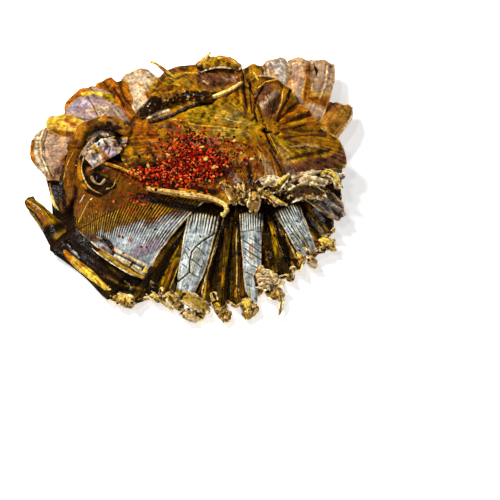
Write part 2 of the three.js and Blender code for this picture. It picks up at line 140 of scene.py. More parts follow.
def cloud(x, y, size, seed=0):
    """Soft random hills from -1 to 1, about `size` across, between the points of a lattice."""
    gx, gy = x / size, y / size
    ix, iy = np.floor(gx).astype(np.int64), np.floor(gy).astype(np.int64)
    fx, fy = gx - ix, gy - iy
    fx, fy = fx * fx * (3 - 2 * fx), fy * fy * (3 - 2 * fy)

    def corner(dx, dy):
        n = (ix + dx) * 374761393 + (iy + dy) * 668265263 + seed * 974634777
        n = (n ^ (n >> 13)) * 1274126177
        return ((n ^ (n >> 16)) & 0xFFFF) / 32767.5 - 1

    near = mix(corner(0, 0), corner(1, 0), fx)
    return mix(near, mix(corner(0, 1), corner(1, 1), fx), fy)


def rough(x, y, size, seed=0, octaves=3):
    total = sum(cloud(x, y, size / 2 ** k, seed + 11 * k) / 2 ** k for k in range(octaves))
    return total / (2 - 2 ** (1 - octaves))


def wrinkle(x, y, size, seed=0):
    """Sharp crests at 1 with hollows at 0 between them."""
    return 1 - np.minimum(1, 2.2 * np.abs(rough(x, y, size, seed, 2)))


print("noise runs from", round(float(cloud(np.arange(999.0), 0.5 * np.arange(999.0), 7).min()), 2))

# %% A smooth curve through points


def bend(points, t, closed=False):
    """Points along a smooth curve through all the given ones, with t from 0 to 1."""
    points = np.asarray(points, float)
    count = len(points)
    spans = count if closed else count - 1
    at = np.clip(t, 0, 1) * spans
    i = np.minimum(at.astype(int), spans - 1)
    f = (at - i)[:, None]

    def point(k):
        return points[k % count] if closed else points[np.clip(k, 0, count - 1)]

    a, b, c, d = point(i - 1), point(i), point(i + 1), point(i + 2)
    if not closed:
        a = np.where((i == 0)[:, None], 2 * b - c, a)
        d = np.where((i == spans - 1)[:, None], 2 * c - b, d)
    bent = 2 * b + (c - a) * f
    bent = bent + (2 * a - 5 * b + 4 * c - d) * f ** 2
    return 0.5 * (bent + (3 * b - a - 3 * c + d) * f ** 3)


print("the middle of a bend:", bend([[0, 0], [1, 2], [4, 2]], np.array([0.5]))[0])

# %% [markdown]
# ## Marks
# A mark is a stroke along a path: what it is made of, its path in photo pixels, its half width
# and how strong it is. A ridge or a crack also says how many millimetres it stands up. A stroke of
# one point is a spot. The edge of a stroke wanders a little, as a stain or a torn ridge does.

# %% Strokes
MASKS = ["olive", "amber", "purple", "pearl", "mauve", "silver", "yellow", "cream", "dark"]
BROWNS = ("olive", "amber", "purple")  # these let half of the dark through
STROKE_INNER, STROKE_OUTER = 0.35, 1.2  # where a stroke starts to fade and ends, in half widths
STROKE_WANDERS = 0.3  # how far its edge wanders, in half widths
SOFTEST = 0.3  # how much sooner a wide stroke starts to fade, in half widths


def far_from(px, py, path):
    """How far each pixel is from a path of straight stretches."""
    path = np.asarray(path, float)
    if len(path) == 1:
        return np.hypot(px - path[0, 0], py - path[0, 1])
    nearest = np.full(len(px), 1e9)
    for (ax, ay), (bx, by) in zip(path, path[1:]):
        length = max(1e-9, (bx - ax) ** 2 + (by - ay) ** 2)
        t = np.clip(((px - ax) * (bx - ax) + (py - ay) * (by - ay)) / length, 0, 1)
        nearest = np.minimum(nearest, np.hypot(px - mix(ax, bx, t), py - mix(ay, by, t)))
    return nearest


def stroke_marks(spot, strokes, masks):
    """Adds the strokes to the masks, each over what was there, and gives the height they add."""
    lift = np.zeros(len(spot.px))
    for kind, path, wide, strength, *raised in strokes:
        near = far_from(spot.px, spot.py, path) / wide
        near = near + STROKE_WANDERS * rough(spot.px, spot.py, 1.2 * wide + 2, 5, 2)
        soft = min(SOFTEST, 0.03 * wide)
        shape = strength * (1 - smooth(STROKE_INNER - soft, STROKE_OUTER + soft, near))
        for other in masks:
            if kind not in ("dark", other):
                kept = 0.5 if other == "dark" and kind in BROWNS else 0.0
                masks[other] = masks[other] * (1 - (1 - kept) * shape)
        masks[kind] = np.maximum(masks.get(kind, 0), shape)
        for height in raised:
            lift = lift + height * np.exp(-np.minimum(near, 4) ** 2)
    return lift


def cracks(wide, strength, deep, *paths):
    """Dark cracks of one width, a stroke for each path."""
    return [("dark", path, wide, strength, -deep) for path in paths]


print("a crack is the stroke", cracks(0.5, 1.0, 0.3, [(187, 247), (190, 250)])[0])

# %% [markdown]
# ## Sheets of skin
# Each petal, panel and fold of a real ray is one sheet of dried skin, 1 to 2 mm thick. A sheet
# starts as a flat grid. Its points are then moved to the sheet's form and pushed in and out along
# its normals for folds and fibres. Solidify gives it a lower face, which comes closer at the rim.
# Modelling the forms by hand in edit mode would work for one petal. A form written as a function
# of `u` across and `v` along makes over fifty of them from a few sizes each, and it is the same
# function that shaped the solid, so each large sheet lies where the solid does.

# %% Read and write the points of a mesh


def read(sequence, field, width=1):
    values = np.zeros(len(sequence) * width)
    sequence.foreach_get(field, values)
    return values.reshape(-1, width) if width > 1 else values


def write(sequence, field, values):
    sequence.foreach_set(field, np.asarray(values, float).ravel())


def add_attribute(mesh, name, values):
    attribute = mesh.attributes.get(name) or mesh.attributes.new(name, "FLOAT", "POINT")
    write(attribute.data, "value", values)


def take(mesh, name):
    """The values of an attribute, which is then removed."""
    values = read(mesh.attributes[name].data, "value")
    mesh.attributes.remove(mesh.attributes[name])
    return values

# %% A flat grid to start from
SAME_POINT = 2e-6  # m: points of a seam or a pole that lie this close are joined


def flat_grid(name, columns, rows, closed=False, form=None):
    """A grid with u and v kept on its points. A closed one has its seam and its poles joined."""
    bpy.ops.object.select_all(action="DESELECT")
    bpy.ops.mesh.primitive_grid_add(x_subdivisions=columns, y_subdivisions=rows, size=1)
    piece = bpy.context.active_object
    piece.name = piece.data.name = name
    flat = read(piece.data.vertices, "co", 3)
    u, v = flat[:, 0] + 0.5, flat[:, 1] + 0.5
    add_attribute(piece.data, "u", u)
    add_attribute(piece.data, "v", v)
    if closed:
        write(piece.data.vertices, "co", form(u, v) * MM)
        bpy.ops.object.mode_set(mode="EDIT")
        bpy.ops.mesh.select_all(action="SELECT")
        bpy.ops.mesh.remove_doubles(threshold=SAME_POINT)
        bpy.ops.object.mode_set(mode="OBJECT")
    return piece

# %% What each point is told and keeps


def stretch_uv(mesh, across, along):
    """The sheet's own UV map, in millimetres."""
    places = mesh.uv_layers.active.data
    write(places, "uv", read(places, "uv", 2) * np.array([across, along]))


def tell(base, u, v):
    """Where each point lies: on the sheet, in the layout and in the photograph."""
    px, py = in_photo(base)
    return SimpleNamespace(u=u, v=v, x=base[:, 0], y=base[:, 1], z=base[:, 2], px=px, py=py)


def keep_masks(mesh, masks):
    everywhere = np.ones(len(mesh.vertices))
    for mask in MASKS:
        add_attribute(mesh, mask, np.clip(masks.get(mask, 0) * everywhere, 0, 1))

# %% Finish a piece
SMOOTH_TURN = 1.05  # radians: faces that turn less than this, about sixty degrees, are shaded as one


def finish_piece(piece, material, turn=SMOOTH_TURN):
    """Moves a piece from the layout to the frame, smooths it, and lets it ride and stand in."""
    mesh = piece.data
    points = read(mesh.vertices, "co", 3) - MIDDLE * MM
    points[:, 2] = np.maximum(points[:, 2], 0)
    write(mesh.vertices, "co", points)
    mesh.update()
    bpy.ops.object.select_all(action="DESELECT")
    piece.select_set(True)
    bpy.context.view_layer.objects.active = piece
    bpy.ops.object.shade_smooth_by_angle(angle=turn)
    mesh.materials.clear()
    mesh.materials.append(material)
    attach(piece, "root")
    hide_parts("stingray")
    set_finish(piece, "dried_skin")
    return piece

# %% Lay a sheet of skin
SOLID_SKIN = 2.4  # mm, thickness of the solid's petals
THIN = 1.5  # mm, thickness of a sheet here, where nothing else is said
LOWEST = 0.4  # mm, how far above the table a sheet's upper face stays
RIM_THIN = 0.35  # a sheet's rim has this share of its thickness
RIM_REACH = 0.07  # and it is full over this share of the sheet's length


def lay_skin(name, form, grid, size, dress, material, closed=False, thick=THIN, under=None):
    """A sheet over form(u, v). dress(spot) gives its relief in mm and its masks."""
    piece = flat_grid(name, *grid, closed, form)
    mesh = piece.data
    u, v = take(mesh, "u"), take(mesh, "v")
    stretch_uv(mesh, *size)
    base = form(u, v)
    write(mesh.vertices, "co", base * MM)
    mesh.update()
    if read(mesh.vertices, "normal", 3)[:, 2].mean() < 0:
        mesh.flip_normals()
    normals = read(mesh.vertices, "normal", 3)
    relief, masks = dress(tell(base, u, v))
    keep_masks(mesh, masks)
    top = base + normals * relief[:, None]
    top[:, 2] = np.maximum(top[:, 2], LOWEST)
    write(mesh.vertices, "co", top * MM)
    mesh.update()
    normals = read(mesh.vertices, "normal", 3)
    add_attribute(mesh, "hollow", hollows(mesh, top, normals))
    bpy.context.view_layer.objects.active = piece
    wall = piece.modifiers.new("wall", "SOLIDIFY")
    wall.thickness = THIN * MM
    wall.offset = -1
    bpy.ops.object.modifier_apply(modifier="wall")
    inner = top - normals * thick * mix(RIM_THIN, 1, smooth(0, RIM_REACH, 1 - v))[:, None]
    if under is not None:
        inner = np.column_stack([top[:, 0], top[:, 1], under(u, v, top[:, 2])])
    both = read(mesh.vertices, "co", 3)
    both[len(top):2 * len(top)] = inner * MM
    write(mesh.vertices, "co", both)
    return finish_piece(piece, material)

# %% [markdown]
# ## Creases
# Shade is painted into the creases of the dried skin and highlight onto its crests. How deep a point
# lies is worked out from the mesh itself: its points are softened, as Smooth Vertices does, and a
# point that ends up below the softened one lies in a crease. Shade baked as vertex colours would do
# the same, but it would need its own paint layer for each piece.

# %% How deep each point lies
FINE, COARSE = 3, 30  # after so many softenings fine and coarse creases show
CREASE_DEPTH = {FINE: 0.16, COARSE: 0.65}  # mm deep, where a crease of that size is all dark
SOFTENING = 0.8  # how far each point moves to the middle of its neighbours


def hollows(mesh, points, normals):
    """From 0 on a crest to 1 in a crease, and a half where the skin is flat."""
    ends = np.zeros(2 * len(mesh.edges), int)
    mesh.edges.foreach_get("vertices", ends)
    a, b = ends.reshape(-1, 2).T
    total = len(points)
    count = np.bincount(a, minlength=total) + np.bincount(b, minlength=total)
    soft, depth = points.copy(), np.zeros(total)
    for step in range(1, COARSE + 1):
        near = np.column_stack([
            np.bincount(a, soft[b, k], total) + np.bincount(b, soft[a, k], total) for k in range(3)
        ])
        soft = mix(soft, near / count[:, None], SOFTENING)
        if step in CREASE_DEPTH:
            depth += ((soft - points) * normals).sum(axis=1) / CREASE_DEPTH[step]
    return np.clip(0.5 + 0.5 * depth, 0, 1)

# %% [markdown]
# ## Rods of cartilage
# A ray has no bones. Its skeleton is cartilage, which dries to knobbly cream rods, and its torn
# edges dry into hooks and rolls. Each is a grid wound into a tube along a path, thick or thin as
# it goes, with both ends closed to a point. A curve with a bevel would be quicker, but a grid
# keeps `u` and `v`, by which plies and stains are laid round the rod and along it.

# %% Wind a grid round a path


def rod_form(path, thick, taper, flatten, lump, seed):
    """The surface of a rod: u goes round it and v along it."""

    def form(u, v):
        centre = bend(path, v)
        along = bend(path, np.minimum(v + 0.01, 1)) - bend(path, np.maximum(v - 0.01, 0))
        along /= np.linalg.norm(along, axis=1)[:, None]
        side = np.column_stack([along[:, 1], -along[:, 0] + 1e-6, 0 * v])
        side /= np.linalg.norm(side, axis=1)[:, None]
        up = np.cross(side, along)
        knob = 1 + lump * np.sin(9 * v + path[0, 0]) + lump * cloud(v * 90, u * 0, 9, seed)
        end = np.sqrt(np.clip(1 - np.abs(2 * v - 1) ** taper, 0, 1))
        turn = 2 * math.pi * u
        radius = (thick / 2 * knob * end)[:, None]
        return centre + radius * (np.cos(turn)[:, None] * side + flatten * np.sin(turn)[:, None] * up)

    return form


def wind_rod(name, path, thick, dress, grid=(14, 48), taper=8, flatten=1.0, lump=0.14, seed=0):
    """A tube round a path. dress(spot) gives its relief in mm and its masks."""
    path = np.asarray(path, float)
    form = rod_form(path, thick, taper, flatten, lump, seed)
    piece = flat_grid(name, *grid, True, form)
    mesh = piece.data
    u, v = take(mesh, "u"), take(mesh, "v")
    stretch_uv(mesh, 3.14 * thick, np.linalg.norm(np.diff(path, axis=0), axis=1).sum())
    base = form(u, v)
    write(mesh.vertices, "co", base * MM)
    mesh.update()
    normals = read(mesh.vertices, "normal", 3)
    if ((base - bend(path, v)) * normals).sum() < 0:
        mesh.flip_normals()
        normals = -normals
    relief, masks = dress(tell(base, u, v))
    keep_masks(mesh, masks)
    points = base + normals * (relief * np.sin(math.pi * v) ** 0.2)[:, None]
    write(mesh.vertices, "co", points * MM)
    mesh.update()
    add_attribute(mesh, "hollow", hollows(mesh, points, read(mesh.vertices, "normal", 3)))
    return piece

# %% Join several meshes


def join(name, parts, material):
    """Several meshes as one piece."""
    bpy.ops.object.select_all(action="DESELECT")
    for part in parts:
        part.select_set(True)
    bpy.context.view_layer.objects.active = parts[0]
    bpy.ops.object.join()
    piece = bpy.context.active_object
    piece.name = piece.data.name = name
    print(name, len(piece.data.polygons), "faces from", len(parts), "parts")
    return finish_piece(piece, material)

# %% [markdown]
# ## The dried skin's material
# Dried ray skin is collagen, hard and glossy like horn or rawhide, with an IOR of about 1.54. Its
# base runs from burnt brown to amber. Over that lie the masks: olive where light comes through
# fat, mauve and pearl where the belly skin is thin, silver where its mirror layer is left, yellow
# and cream at torn edges, and near black, partly the skin's own dark and partly painted shade in
# creases, gaps and under the crown. Long streaks along the fibres, drawn on
# the sheet's own UV map in millimetres, break the edge of every patch, as they do on the ray.

# %% Colours and nodes


def colour(code):
    """An sRGB hex colour as the linear values that a shader takes."""
    channels = [int(code[i:i + 2], 16) / 255 for i in (1, 3, 5)]
    return (*[c / 12.92 if c <= 0.04045 else ((c + 0.055) / 1.055) ** 2.4 for c in channels], 1.0)


def node(tree, kind, inputs=None, output=None, **settings):
    """Adds a node. A socket given as an input is linked, a value is set. It gives the named output."""
    made = tree.nodes.new("ShaderNode" + kind)
    for key, value in settings.items():
        setattr(made, key, value)
    for socket, value in (inputs or {}).items():
        if isinstance(value, bpy.types.NodeSocket):
            tree.links.new(value, made.inputs[socket])
        else:
            made.inputs[socket].default_value = value
    return made if output is None else made.outputs[output]


# Settings that many nodes share: one colour over another by a share, one colour times another,
# a soft step between two values, and sums.
OVER = {"kind": "Mix", "output": 2, "data_type": "RGBA"}
TINTED = {**OVER, "blend_type": "MULTIPLY"}
FADE = {"kind": "MapRange", "output": 0, "interpolation_type": "SMOOTHSTEP"}
PLUS = {"kind": "Math", "output": 0, "operation": "ADD"}
MINUS = {**PLUS, "operation": "SUBTRACT"}
TIMES = {**PLUS, "operation": "MULTIPLY"}
TIMES_PLUS = {**PLUS, "operation": "MULTIPLY_ADD"}


def new_material(name):
    material = bpy.data.materials.new(name)
    material.use_nodes = True
    tree = material.node_tree
    tree.nodes.clear()
    shader = node(tree, "BsdfPrincipled")
    node(tree, "OutputMaterial", {0: shader.outputs[0]})
    return material, tree, shader


print("amber is", [round(c, 3) for c in colour("#b56c08")])

# %% The colours of the masks
# Each mask's colours: in the streaks' dark half and in their light half.
LAYERS = {
    "olive": ("#4e3802", "#c4980c"),
    "amber": ("#541a02", "#b56c08"),
    "purple": ("#38180a", "#845234"),
    "pearl": ("#94705a", "#cca884"),
    "mauve": ("#7a6874", "#bcaab6"),
    "silver": ("#68727a", "#e0e7e5"),
    "yellow": ("#96600a", "#f0d444"),
    "cream": ("#9a6e30", "#faf0cc"),
    # dark is the skin's own near black, and also painted shade in creases, gaps and under the crown
    "dark": ("#080402", "#261306"),
}
CREST_HIGHLIGHT = (1.9, 1.75, 1.35, 1)  # painted highlight: how much lighter, and how much yellower, a crest is drawn
CREASE_SHADE = "#120701"  # painted shade in a crease
print(len(LAYERS), "masks have colours")

# %% One recipe for all the skin
STAIN_SIZE, PATCH_SIZE, GRIT_SIZE = 15, 5, 1.8  # mm
STREAK_LONG = 16  # mm, length of a fibre's streak
IOR_HORN = 1.54


def horny_skin(name, low, high, gloss=0.22, streak_depth=0.35, fibre_wide=0.9, wander=0.7, crease_shading=0.85,
               grain=1.2, bumpy=0.8, lined=0.5):
    """Hard dried skin from a low colour to a high one, with the masks laid over it."""
    material, tree, shader = new_material(name)
    place = node(tree, "TexCoord", output="Object")
    uv = node(tree, "UVMap", output=0)
    stains = node(tree, "TexNoise", {"Vector": place, "Scale": 1 / (STAIN_SIZE * MM), "Detail": 3.0}, 0)
    patches = node(tree, "TexNoise", {"Vector": place, "Scale": 1 / (PATCH_SIZE * MM), "Detail": 3.0}, 0)
    grit = node(tree, "TexNoise", {"Vector": place, "Scale": 1 / (GRIT_SIZE * MM), "Detail": 4.0}, 0)
    # Fibres are 0.1 to 0.3 mm wide on the real ray, drawn here 0.5 to 0.9 mm wide so that they show.
    drawn = node(tree, "Mapping", {"Vector": uv, "Scale": (1 / fibre_wide, 1 / STREAK_LONG, 1)}, 0)
    fibre = node(tree, "TexNoise", {"Vector": drawn, "Scale": 1.0, "Detail": 3.0}, 0)
    streak = node(tree, inputs={0: fibre, 1: 0.36, 2: 0.64}, **FADE)
    stain = node(tree, inputs={0: stains, 1: 0.36, 2: 0.64}, **FADE)
    patch = node(tree, inputs={0: patches, 1: 0.34, 2: 0.66}, **FADE)
    specks = node(tree, inputs={0: grit, 1: 0.38, 2: 0.62}, **FADE)

    # the base, from its low colour to its high one
    stained = node(tree, inputs={0: stain, 1: 1 - streak_depth}, **TIMES)
    tone = node(tree, inputs={0: streak, 1: streak_depth, 2: stained}, **TIMES_PLUS)
    tint = node(tree, inputs={0: tone, 6: colour(low), 7: colour(high)}, **OVER)

    # the masks, whose edges wander along the fibres
    strays = node(tree, inputs={0: grit, 1: wander / 2, 2: -0.75 * wander}, **TIMES_PLUS)
    strays = node(tree, inputs={0: fibre, 1: wander, 2: strays}, **TIMES_PLUS)
    patched = node(tree, inputs={0: patch, 1: 1 - lined}, **TIMES)
    shade = node(tree, inputs={0: streak, 1: lined, 2: patched}, **TIMES_PLUS)
    for mask, (dull, bright) in LAYERS.items():
        amount = node(tree, "Attribute", output="Fac", attribute_name=mask)
        reach = node(tree, inputs={0: amount, 1: strays}, **PLUS)
        share = node(tree, inputs={0: reach, 1: 0.22, 2: 0.78}, **FADE)
        layer = node(tree, inputs={0: shade, 6: colour(dull), 7: colour(bright)}, **OVER)
        tint = node(tree, inputs={0: share, 6: tint, 7: layer}, **OVER)

    # painted highlight on the crests, painted shade in the creases, and a fine grain
    hollow = node(tree, "Attribute", output="Fac", attribute_name="hollow")
    crest = node(tree, inputs={0: 1.0, 1: hollow}, **MINUS)
    crest_lit = node(tree, inputs={0: crest, 1: 0.55, 2: 1.0, 3: 0.0, 4: 0.7}, **FADE)
    tint = node(tree, inputs={0: crest_lit, 6: tint, 7: CREST_HIGHLIGHT}, **TINTED)
    crease_shaded = node(tree, inputs={0: hollow, 1: 0.52, 2: 0.95, 3: 0.0, 4: crease_shading}, **FADE)
    tint = node(tree, inputs={0: crease_shaded, 6: tint, 7: colour(CREASE_SHADE)}, **OVER)
    speckled = node(tree, inputs={0: specks, 1: 1 - lined}, **TIMES)
    dust = node(tree, inputs={0: streak, 1: lined, 2: speckled}, **TIMES_PLUS)
    dust = node(tree, inputs={0: dust, 1: grain, 2: 0.95 - grain / 2}, **TIMES_PLUS)
    tint = node(tree, inputs={0: 1.0, 6: tint, 7: dust}, **TINTED)

    # what the light feels
    height = node(tree, inputs={0: grit, 1: 0.6}, **TIMES)
    height = node(tree, inputs={0: fibre, 1: 0.6, 2: height}, **TIMES_PLUS)
    bump = node(tree, "Bump", {"Height": height, "Strength": bumpy, "Distance": 0.6 * MM}, 0)
    sheen = node(tree, inputs={0: grit, 1: 0.35, 2: 0.7, 3: gloss - 0.1, 4: gloss + 0.1}, **FADE)
    sheen = node(tree, inputs={0: hollow, 1: 0.12, 2: sheen}, **TIMES_PLUS)
    tree.links.new(tint, shader.inputs["Base Color"])
    tree.links.new(sheen, shader.inputs["Roughness"])
    tree.links.new(bump, shader.inputs["Normal"])
    shader.inputs["IOR"].default_value = IOR_HORN
    shader.inputs["Coat Weight"].default_value = 0.06
    shader.inputs["Coat Roughness"].default_value = 0.2
    return material

# %% Six finishes
ray_skin = horny_skin("dried_ray_skin", "#542502", "#ae7406", streak_depth=0.3, fibre_wide=0.7, wander=0.35,
                      crease_shading=0.75, grain=0.65, bumpy=0.45, lined=0.35)
wing_skin = horny_skin("ribbed_wing_skin", "#4a2202", "#784604", fibre_wide=0.6, wander=0.25, grain=0.7,
                       bumpy=0.35)
pleat_skin = horny_skin("dark_pleat_skin", "#150b02", "#5e430e", streak_depth=0.45, wander=0.35, grain=0.9)
thin_skin = horny_skin("thin_belly_skin", "#8a5a26", "#bf8f48", streak_depth=0.3, fibre_wide=0.5, wander=0.3,
                       crease_shading=0.7, grain=0.5, bumpy=0.45, lined=0.2)
strip_skin = horny_skin("silver_gill_skin", "#4c4636", "#8f8a70", fibre_wide=0.5, wander=0.3, grain=0.7,
                        bumpy=0.4)
cartilage = horny_skin("dried_cartilage", "#8a5c18", "#e8d080", gloss=0.35, fibre_wide=0.7, wander=0.4)
print("materials:", [m.name for m in bpy.data.materials])

# %% [markdown]
# ## The lower tier
# The lower tier is the ray's wings, dried into a fan of pleats about a pole that the crown
# hides. Between two neighbouring folds the skin dips by six millimetres. The front stretch shows
# most and gets the finest grid; the left margin, the right side and the back are stretches of
# the same form.

# %% The fan's form
FAN_POLE = [35, 48, 24]
FAN_RIM = [
    [112, -26, 7], [117, -4, 8], [112, 22, 7], [104, 48, 6], [92, 72, 6], [66, 84, 6], [30, 82, 7],
    [-4, 76, 7], [-36, 70, 6], [-66, 58, 5], [-88, 40, 5], [-98, 18, 5], [-102, -4, 5], [-103, -26, 4],
    [-99, -50, 4], [-84, -73, 4], [-60, -93, 4], [-36, -99, 4], [-12, -95, 5], [4, -103, 4],
    [22, -104, 5], [44, -101, 5], [58, -92, 5], [76, -77, 6], [92, -63, 7], [105, -47, 7],
]
FAN_FLAT_TO = 0.7  # share of the way out that lies flat on the table
FAN_FOLD_DEPTH = 6  # mm
FAN_SCALLOP = 0.05  # how far the rim draws in between two folds
FRONT_FOLDS = [238, 244, 250, 262, 266.5, 271, 283.5, 287.5, 291, 302, 309, 317]
BACK_FOLDS = 14
FOLDS = np.array(FRONT_FOLDS + [mix(317, 598, k / BACK_FOLDS) for k in range(1, BACK_FOLDS + 1)])
GAPS = len(FOLDS) - 1


def seen_from(pole, rim):
    """A closed rim as tables of distance and height by angle about a pole."""
    points = bend(rim, np.arange(720) / 720, closed=True)
    dx, dy = points[:, 0] - pole[0], points[:, 1] - pole[1]
    angle = np.degrees(np.arctan2(dy, dx)) % 360
    order = np.argsort(angle)
    return angle[order], np.hypot(dx, dy)[order], points[order, 2]


RIM_ANGLES, RIM_FAR, RIM_Z = seen_from(FAN_POLE, FAN_RIM)


def fan_form(u, v):
    """The fan's upper face: u runs round its folds and v from the pole to the rim."""
    gap = np.minimum(GAPS - 1, np.floor(u * GAPS)).astype(int)
    between = u * GAPS - gap
    angle = mix(FOLDS[gap], FOLDS[gap + 1], between)
    rim_far = np.interp(angle % 360, RIM_ANGLES, RIM_FAR, period=360)
    rim_z = np.interp(angle % 360, RIM_ANGLES, RIM_Z, period=360)
    dip = np.sin(math.pi * between) * smooth(0.25, 0.7, v)
    far = rim_far * v * (1 - FAN_SCALLOP * dip * v)
    level = mix(FAN_POLE[2], rim_z + 2, v ** 0.9)
    turn = np.radians(angle)
    return np.column_stack([
        FAN_POLE[0] + far * np.cos(turn),
        FAN_POLE[1] + far * np.sin(turn),
        level + FAN_FOLD_DEPTH * (0.4 - dip),
    ])


print("the fan has", GAPS, "gaps between folds")

# %% The fan's marks
# The dark strokes are painted shade in the gaps beside the strips and under the crown's edge; the thin cream
# lines on the ridges are partly the ridges' pale colour and partly painted highlight; the two small silver
# spots at the left margin are painted glints.
FAN_MARKS = [
    ("olive", [(194, 214), (181, 231), (166, 248), (155, 266)], 1.6, 0.70, 1.2),
    ("cream", [(192, 218), (180, 234), (168, 249), (158, 264)], 0.6, 0.6, 0.3),
    ("dark", [(197, 214), (184, 234), (170, 254), (160, 270)], 2.8, 1, -1),
    ("amber", [(190, 226), (178, 242), (170, 260)], 2, 0.62, 0.8),
    ("olive", [(186, 238), (174, 262), (162, 284)], 5, 0.70),
    ("amber", [(176, 262), (166, 282)], 3, 0.62),
    ("yellow", [(183, 248), (178, 268), (171, 288)], 0.7, 0.55, 1.2),
    ("dark", [(186, 246), (181, 262), (176, 282)], 1.8, 0.9, -0.8),
    ("dark", [(214, 232), (206, 262), (197, 292)], 3.2, 1, -1.2),
    ("cream", [(224, 215), (217, 240), (210, 264), (202, 294)], 0.6, 0.65, 1.2),
    ("dark", [(228, 214), (218, 250), (210, 285)], 2.6, 0.9, -0.6),
    ("olive", [(232, 214), (228, 245), (223, 285)], 2.6, 0.74, 1),
    ("dark", [(230, 240), (226, 270), (224, 296)], 1.2, 0.8, -0.6),
    ("cream", [(237, 225), (236.5, 245), (237, 262), (237, 292)], 0.5, 0.65, 1.2),
    ("amber", [(240, 240), (240, 268), (241, 292)], 2.4, 0.55),
    ("dark", [(243, 262), (244, 280), (244, 298)], 1.8, 1, -1),
    ("dark", [(264, 214), (266, 226)], 4.5, 1, -1),
    ("amber", [(266, 232), (267, 248), (266, 264)], 3, 0.58),
    ("cream", [(268, 228), (270, 246), (269, 262)], 0.5, 0.5, 0.7),
    ("olive", [(271, 216), (275, 238), (276, 270)], 3, 0.70, 0.8),
    ("dark", [(274, 216), (283, 240), (290, 266)], 3.4, 0.95, -1),
    ("cream", [(276, 218), (284, 234), (291, 248), (297, 260)], 0.5, 0.5, 1),
    ("dark", [(283, 224), (292, 242), (299, 258)], 2.4, 1, -1),
    ("olive", [(302, 212), (309, 228), (314, 240)], 1.2, 0.62, 0.8),
    ("olive", [(312, 214), (320, 230), (326, 240)], 4, 0.62, 0.4),
    ("silver", [(324, 210), (332, 216), (338, 222)], 4, 0.6, 0.2),
    ("dark", [(304, 205), (318, 214), (334, 228)], 3.5, 0.9, -0.6),
    ("cream", [(320, 213), (330, 222), (337, 228)], 0.7, 0.6, 0.6),
    ("amber", [(55, 186), (57, 198), (60, 210)], 4, 0.55, 0.4),
    ("silver", [(73, 251), (77, 254), (80, 258)], 1.5, 0.9, 0.4),
    ("silver", [(68, 244), (71, 248)], 0.8, 0.8, 0.2),
    ("purple", [(88, 262), (102, 272), (118, 281)], 2, 0.6, 0.4),
    ("olive", [(104, 276), (124, 285), (146, 289)], 1.8, 0.55, 0.4),
    ("cream", [(126, 281), (130, 284), (132, 288)], 0.8, 0.7, 0.4),
]
print(len(FAN_MARKS), "marks on the fan")

# %% How the fan is dressed
STRIPE_WIDE, PLEAT_WIDE, FAN_RIM_WIDE = 2.0, 5.0, 1.5  # mm
FAN_RADIUS = 130  # mm, which makes a length round the rim of an angle


def fan_dress(spot):
    """Pleats with painted shade in their valleys and brown on their crests, with fine ridges between."""
    gap = spot.u * GAPS
    between = gap - np.floor(gap)
    crest = np.abs(np.cos(math.pi * between)) ** 1.5
    angle = np.arctan2(spot.y - FAN_POLE[1], spot.x - FAN_POLE[0])
    far = np.hypot(spot.x - FAN_POLE[0], spot.y - FAN_POLE[1])
    around = angle * FAN_RADIUS + 2 * cloud(spot.x, spot.y, 25, 93)
    stripes = cloud(around, far * 0.06, STRIPE_WIDE, 3)
    pleats = np.abs(cloud(around, far * 0.05, PLEAT_WIDE, 9))
    out = smooth(0.3, 0.6, spot.v)
    relief = 0.5 * stripes * out + 1.3 * (pleats - 0.5) * out
    relief += 0.5 * rough(spot.x, spot.y, 6, 7) + 0.2 * rough(spot.x, spot.y, 2, 8)
    rim = np.exp(-((1 - spot.v) * far / FAN_RIM_WIDE) ** 2)
    rag = cloud(around, far * 0, 4, 21)
    relief += rim * (0.6 + 1.2 * rag)
    left = smooth(-70, -95, spot.x)
    corner = smooth(-28, -48, spot.x) * smooth(-10, -25, spot.y)
    corner = np.maximum(corner, smooth(-62, -76, spot.x) * smooth(20, 0, spot.y))
    bands = rough((1 - spot.v) * far, angle * 14, 4.5, 97)
    relief = relief * (1 - 0.75 * corner) + 0.8 * bands * corner
    # Painted shade in the dark mask: in the valleys of the pleats and the grooves of the stripes.
    masks = {
        "olive": 0.5 * smooth(-0.2, 0.6, stripes) * crest * (1 - left),
        "dark": np.clip(0.7 * (1 - crest) + 0.4 * smooth(0.1, -0.6, stripes) - 0.2, 0, 1),
        "amber": 0.45 * smooth(0.0, 0.6, cloud(around, far * 0.1, 9, 33)) * crest,
        "cream": 0.8 * rim * smooth(-0.4, 0.4, rag) * (1 - left),
        "yellow": 0.6 * rim * (1 - left),
        "purple": 0.6 * left,
    }
    # Painted shade on the inner fan, which lies under the crown.
    masks["dark"] = np.maximum(masks["dark"], smooth(0.5, 0.36, spot.v))
    soot = 0.62 + 0.4 * smooth(-5, -30, spot.y) + 0.35 * rough(spot.x, spot.y, 9, 95)
    masks["dark"] = np.maximum(masks["dark"] * (1 - 0.6 * left), (soot + 0.12) * left)
    for mask in ("olive", "amber"):
        masks[mask] = masks[mask] * (1 - corner) + 0.4 * corner * smooth(0.3, 0.8, bands)
    masks["dark"] = np.maximum(masks["dark"], corner * (0.85 - 0.5 * smooth(0.0, 0.8, bands)))
    relief += stroke_marks(spot, FAN_MARKS, masks)
    return relief, masks

# %% Lay the fan


def lay_fan(name, first, last, grid, start):
    """One stretch of the fan, from one fold to another and from a share of the way out."""
    def form(u, v):
        return fan_form(mix(first, last, u) / GAPS, mix(start, 1, v))

    def dress(spot):
        spot.u, spot.v = mix(first, last, spot.u) / GAPS, mix(start, 1, spot.v)
        return fan_dress(spot)

    size = ((FOLDS[last] - FOLDS[first]) * 2.1, 140 * (1 - start))
    return lay_skin(name, form, grid, size, dress, pleat_skin, thick=2.0)


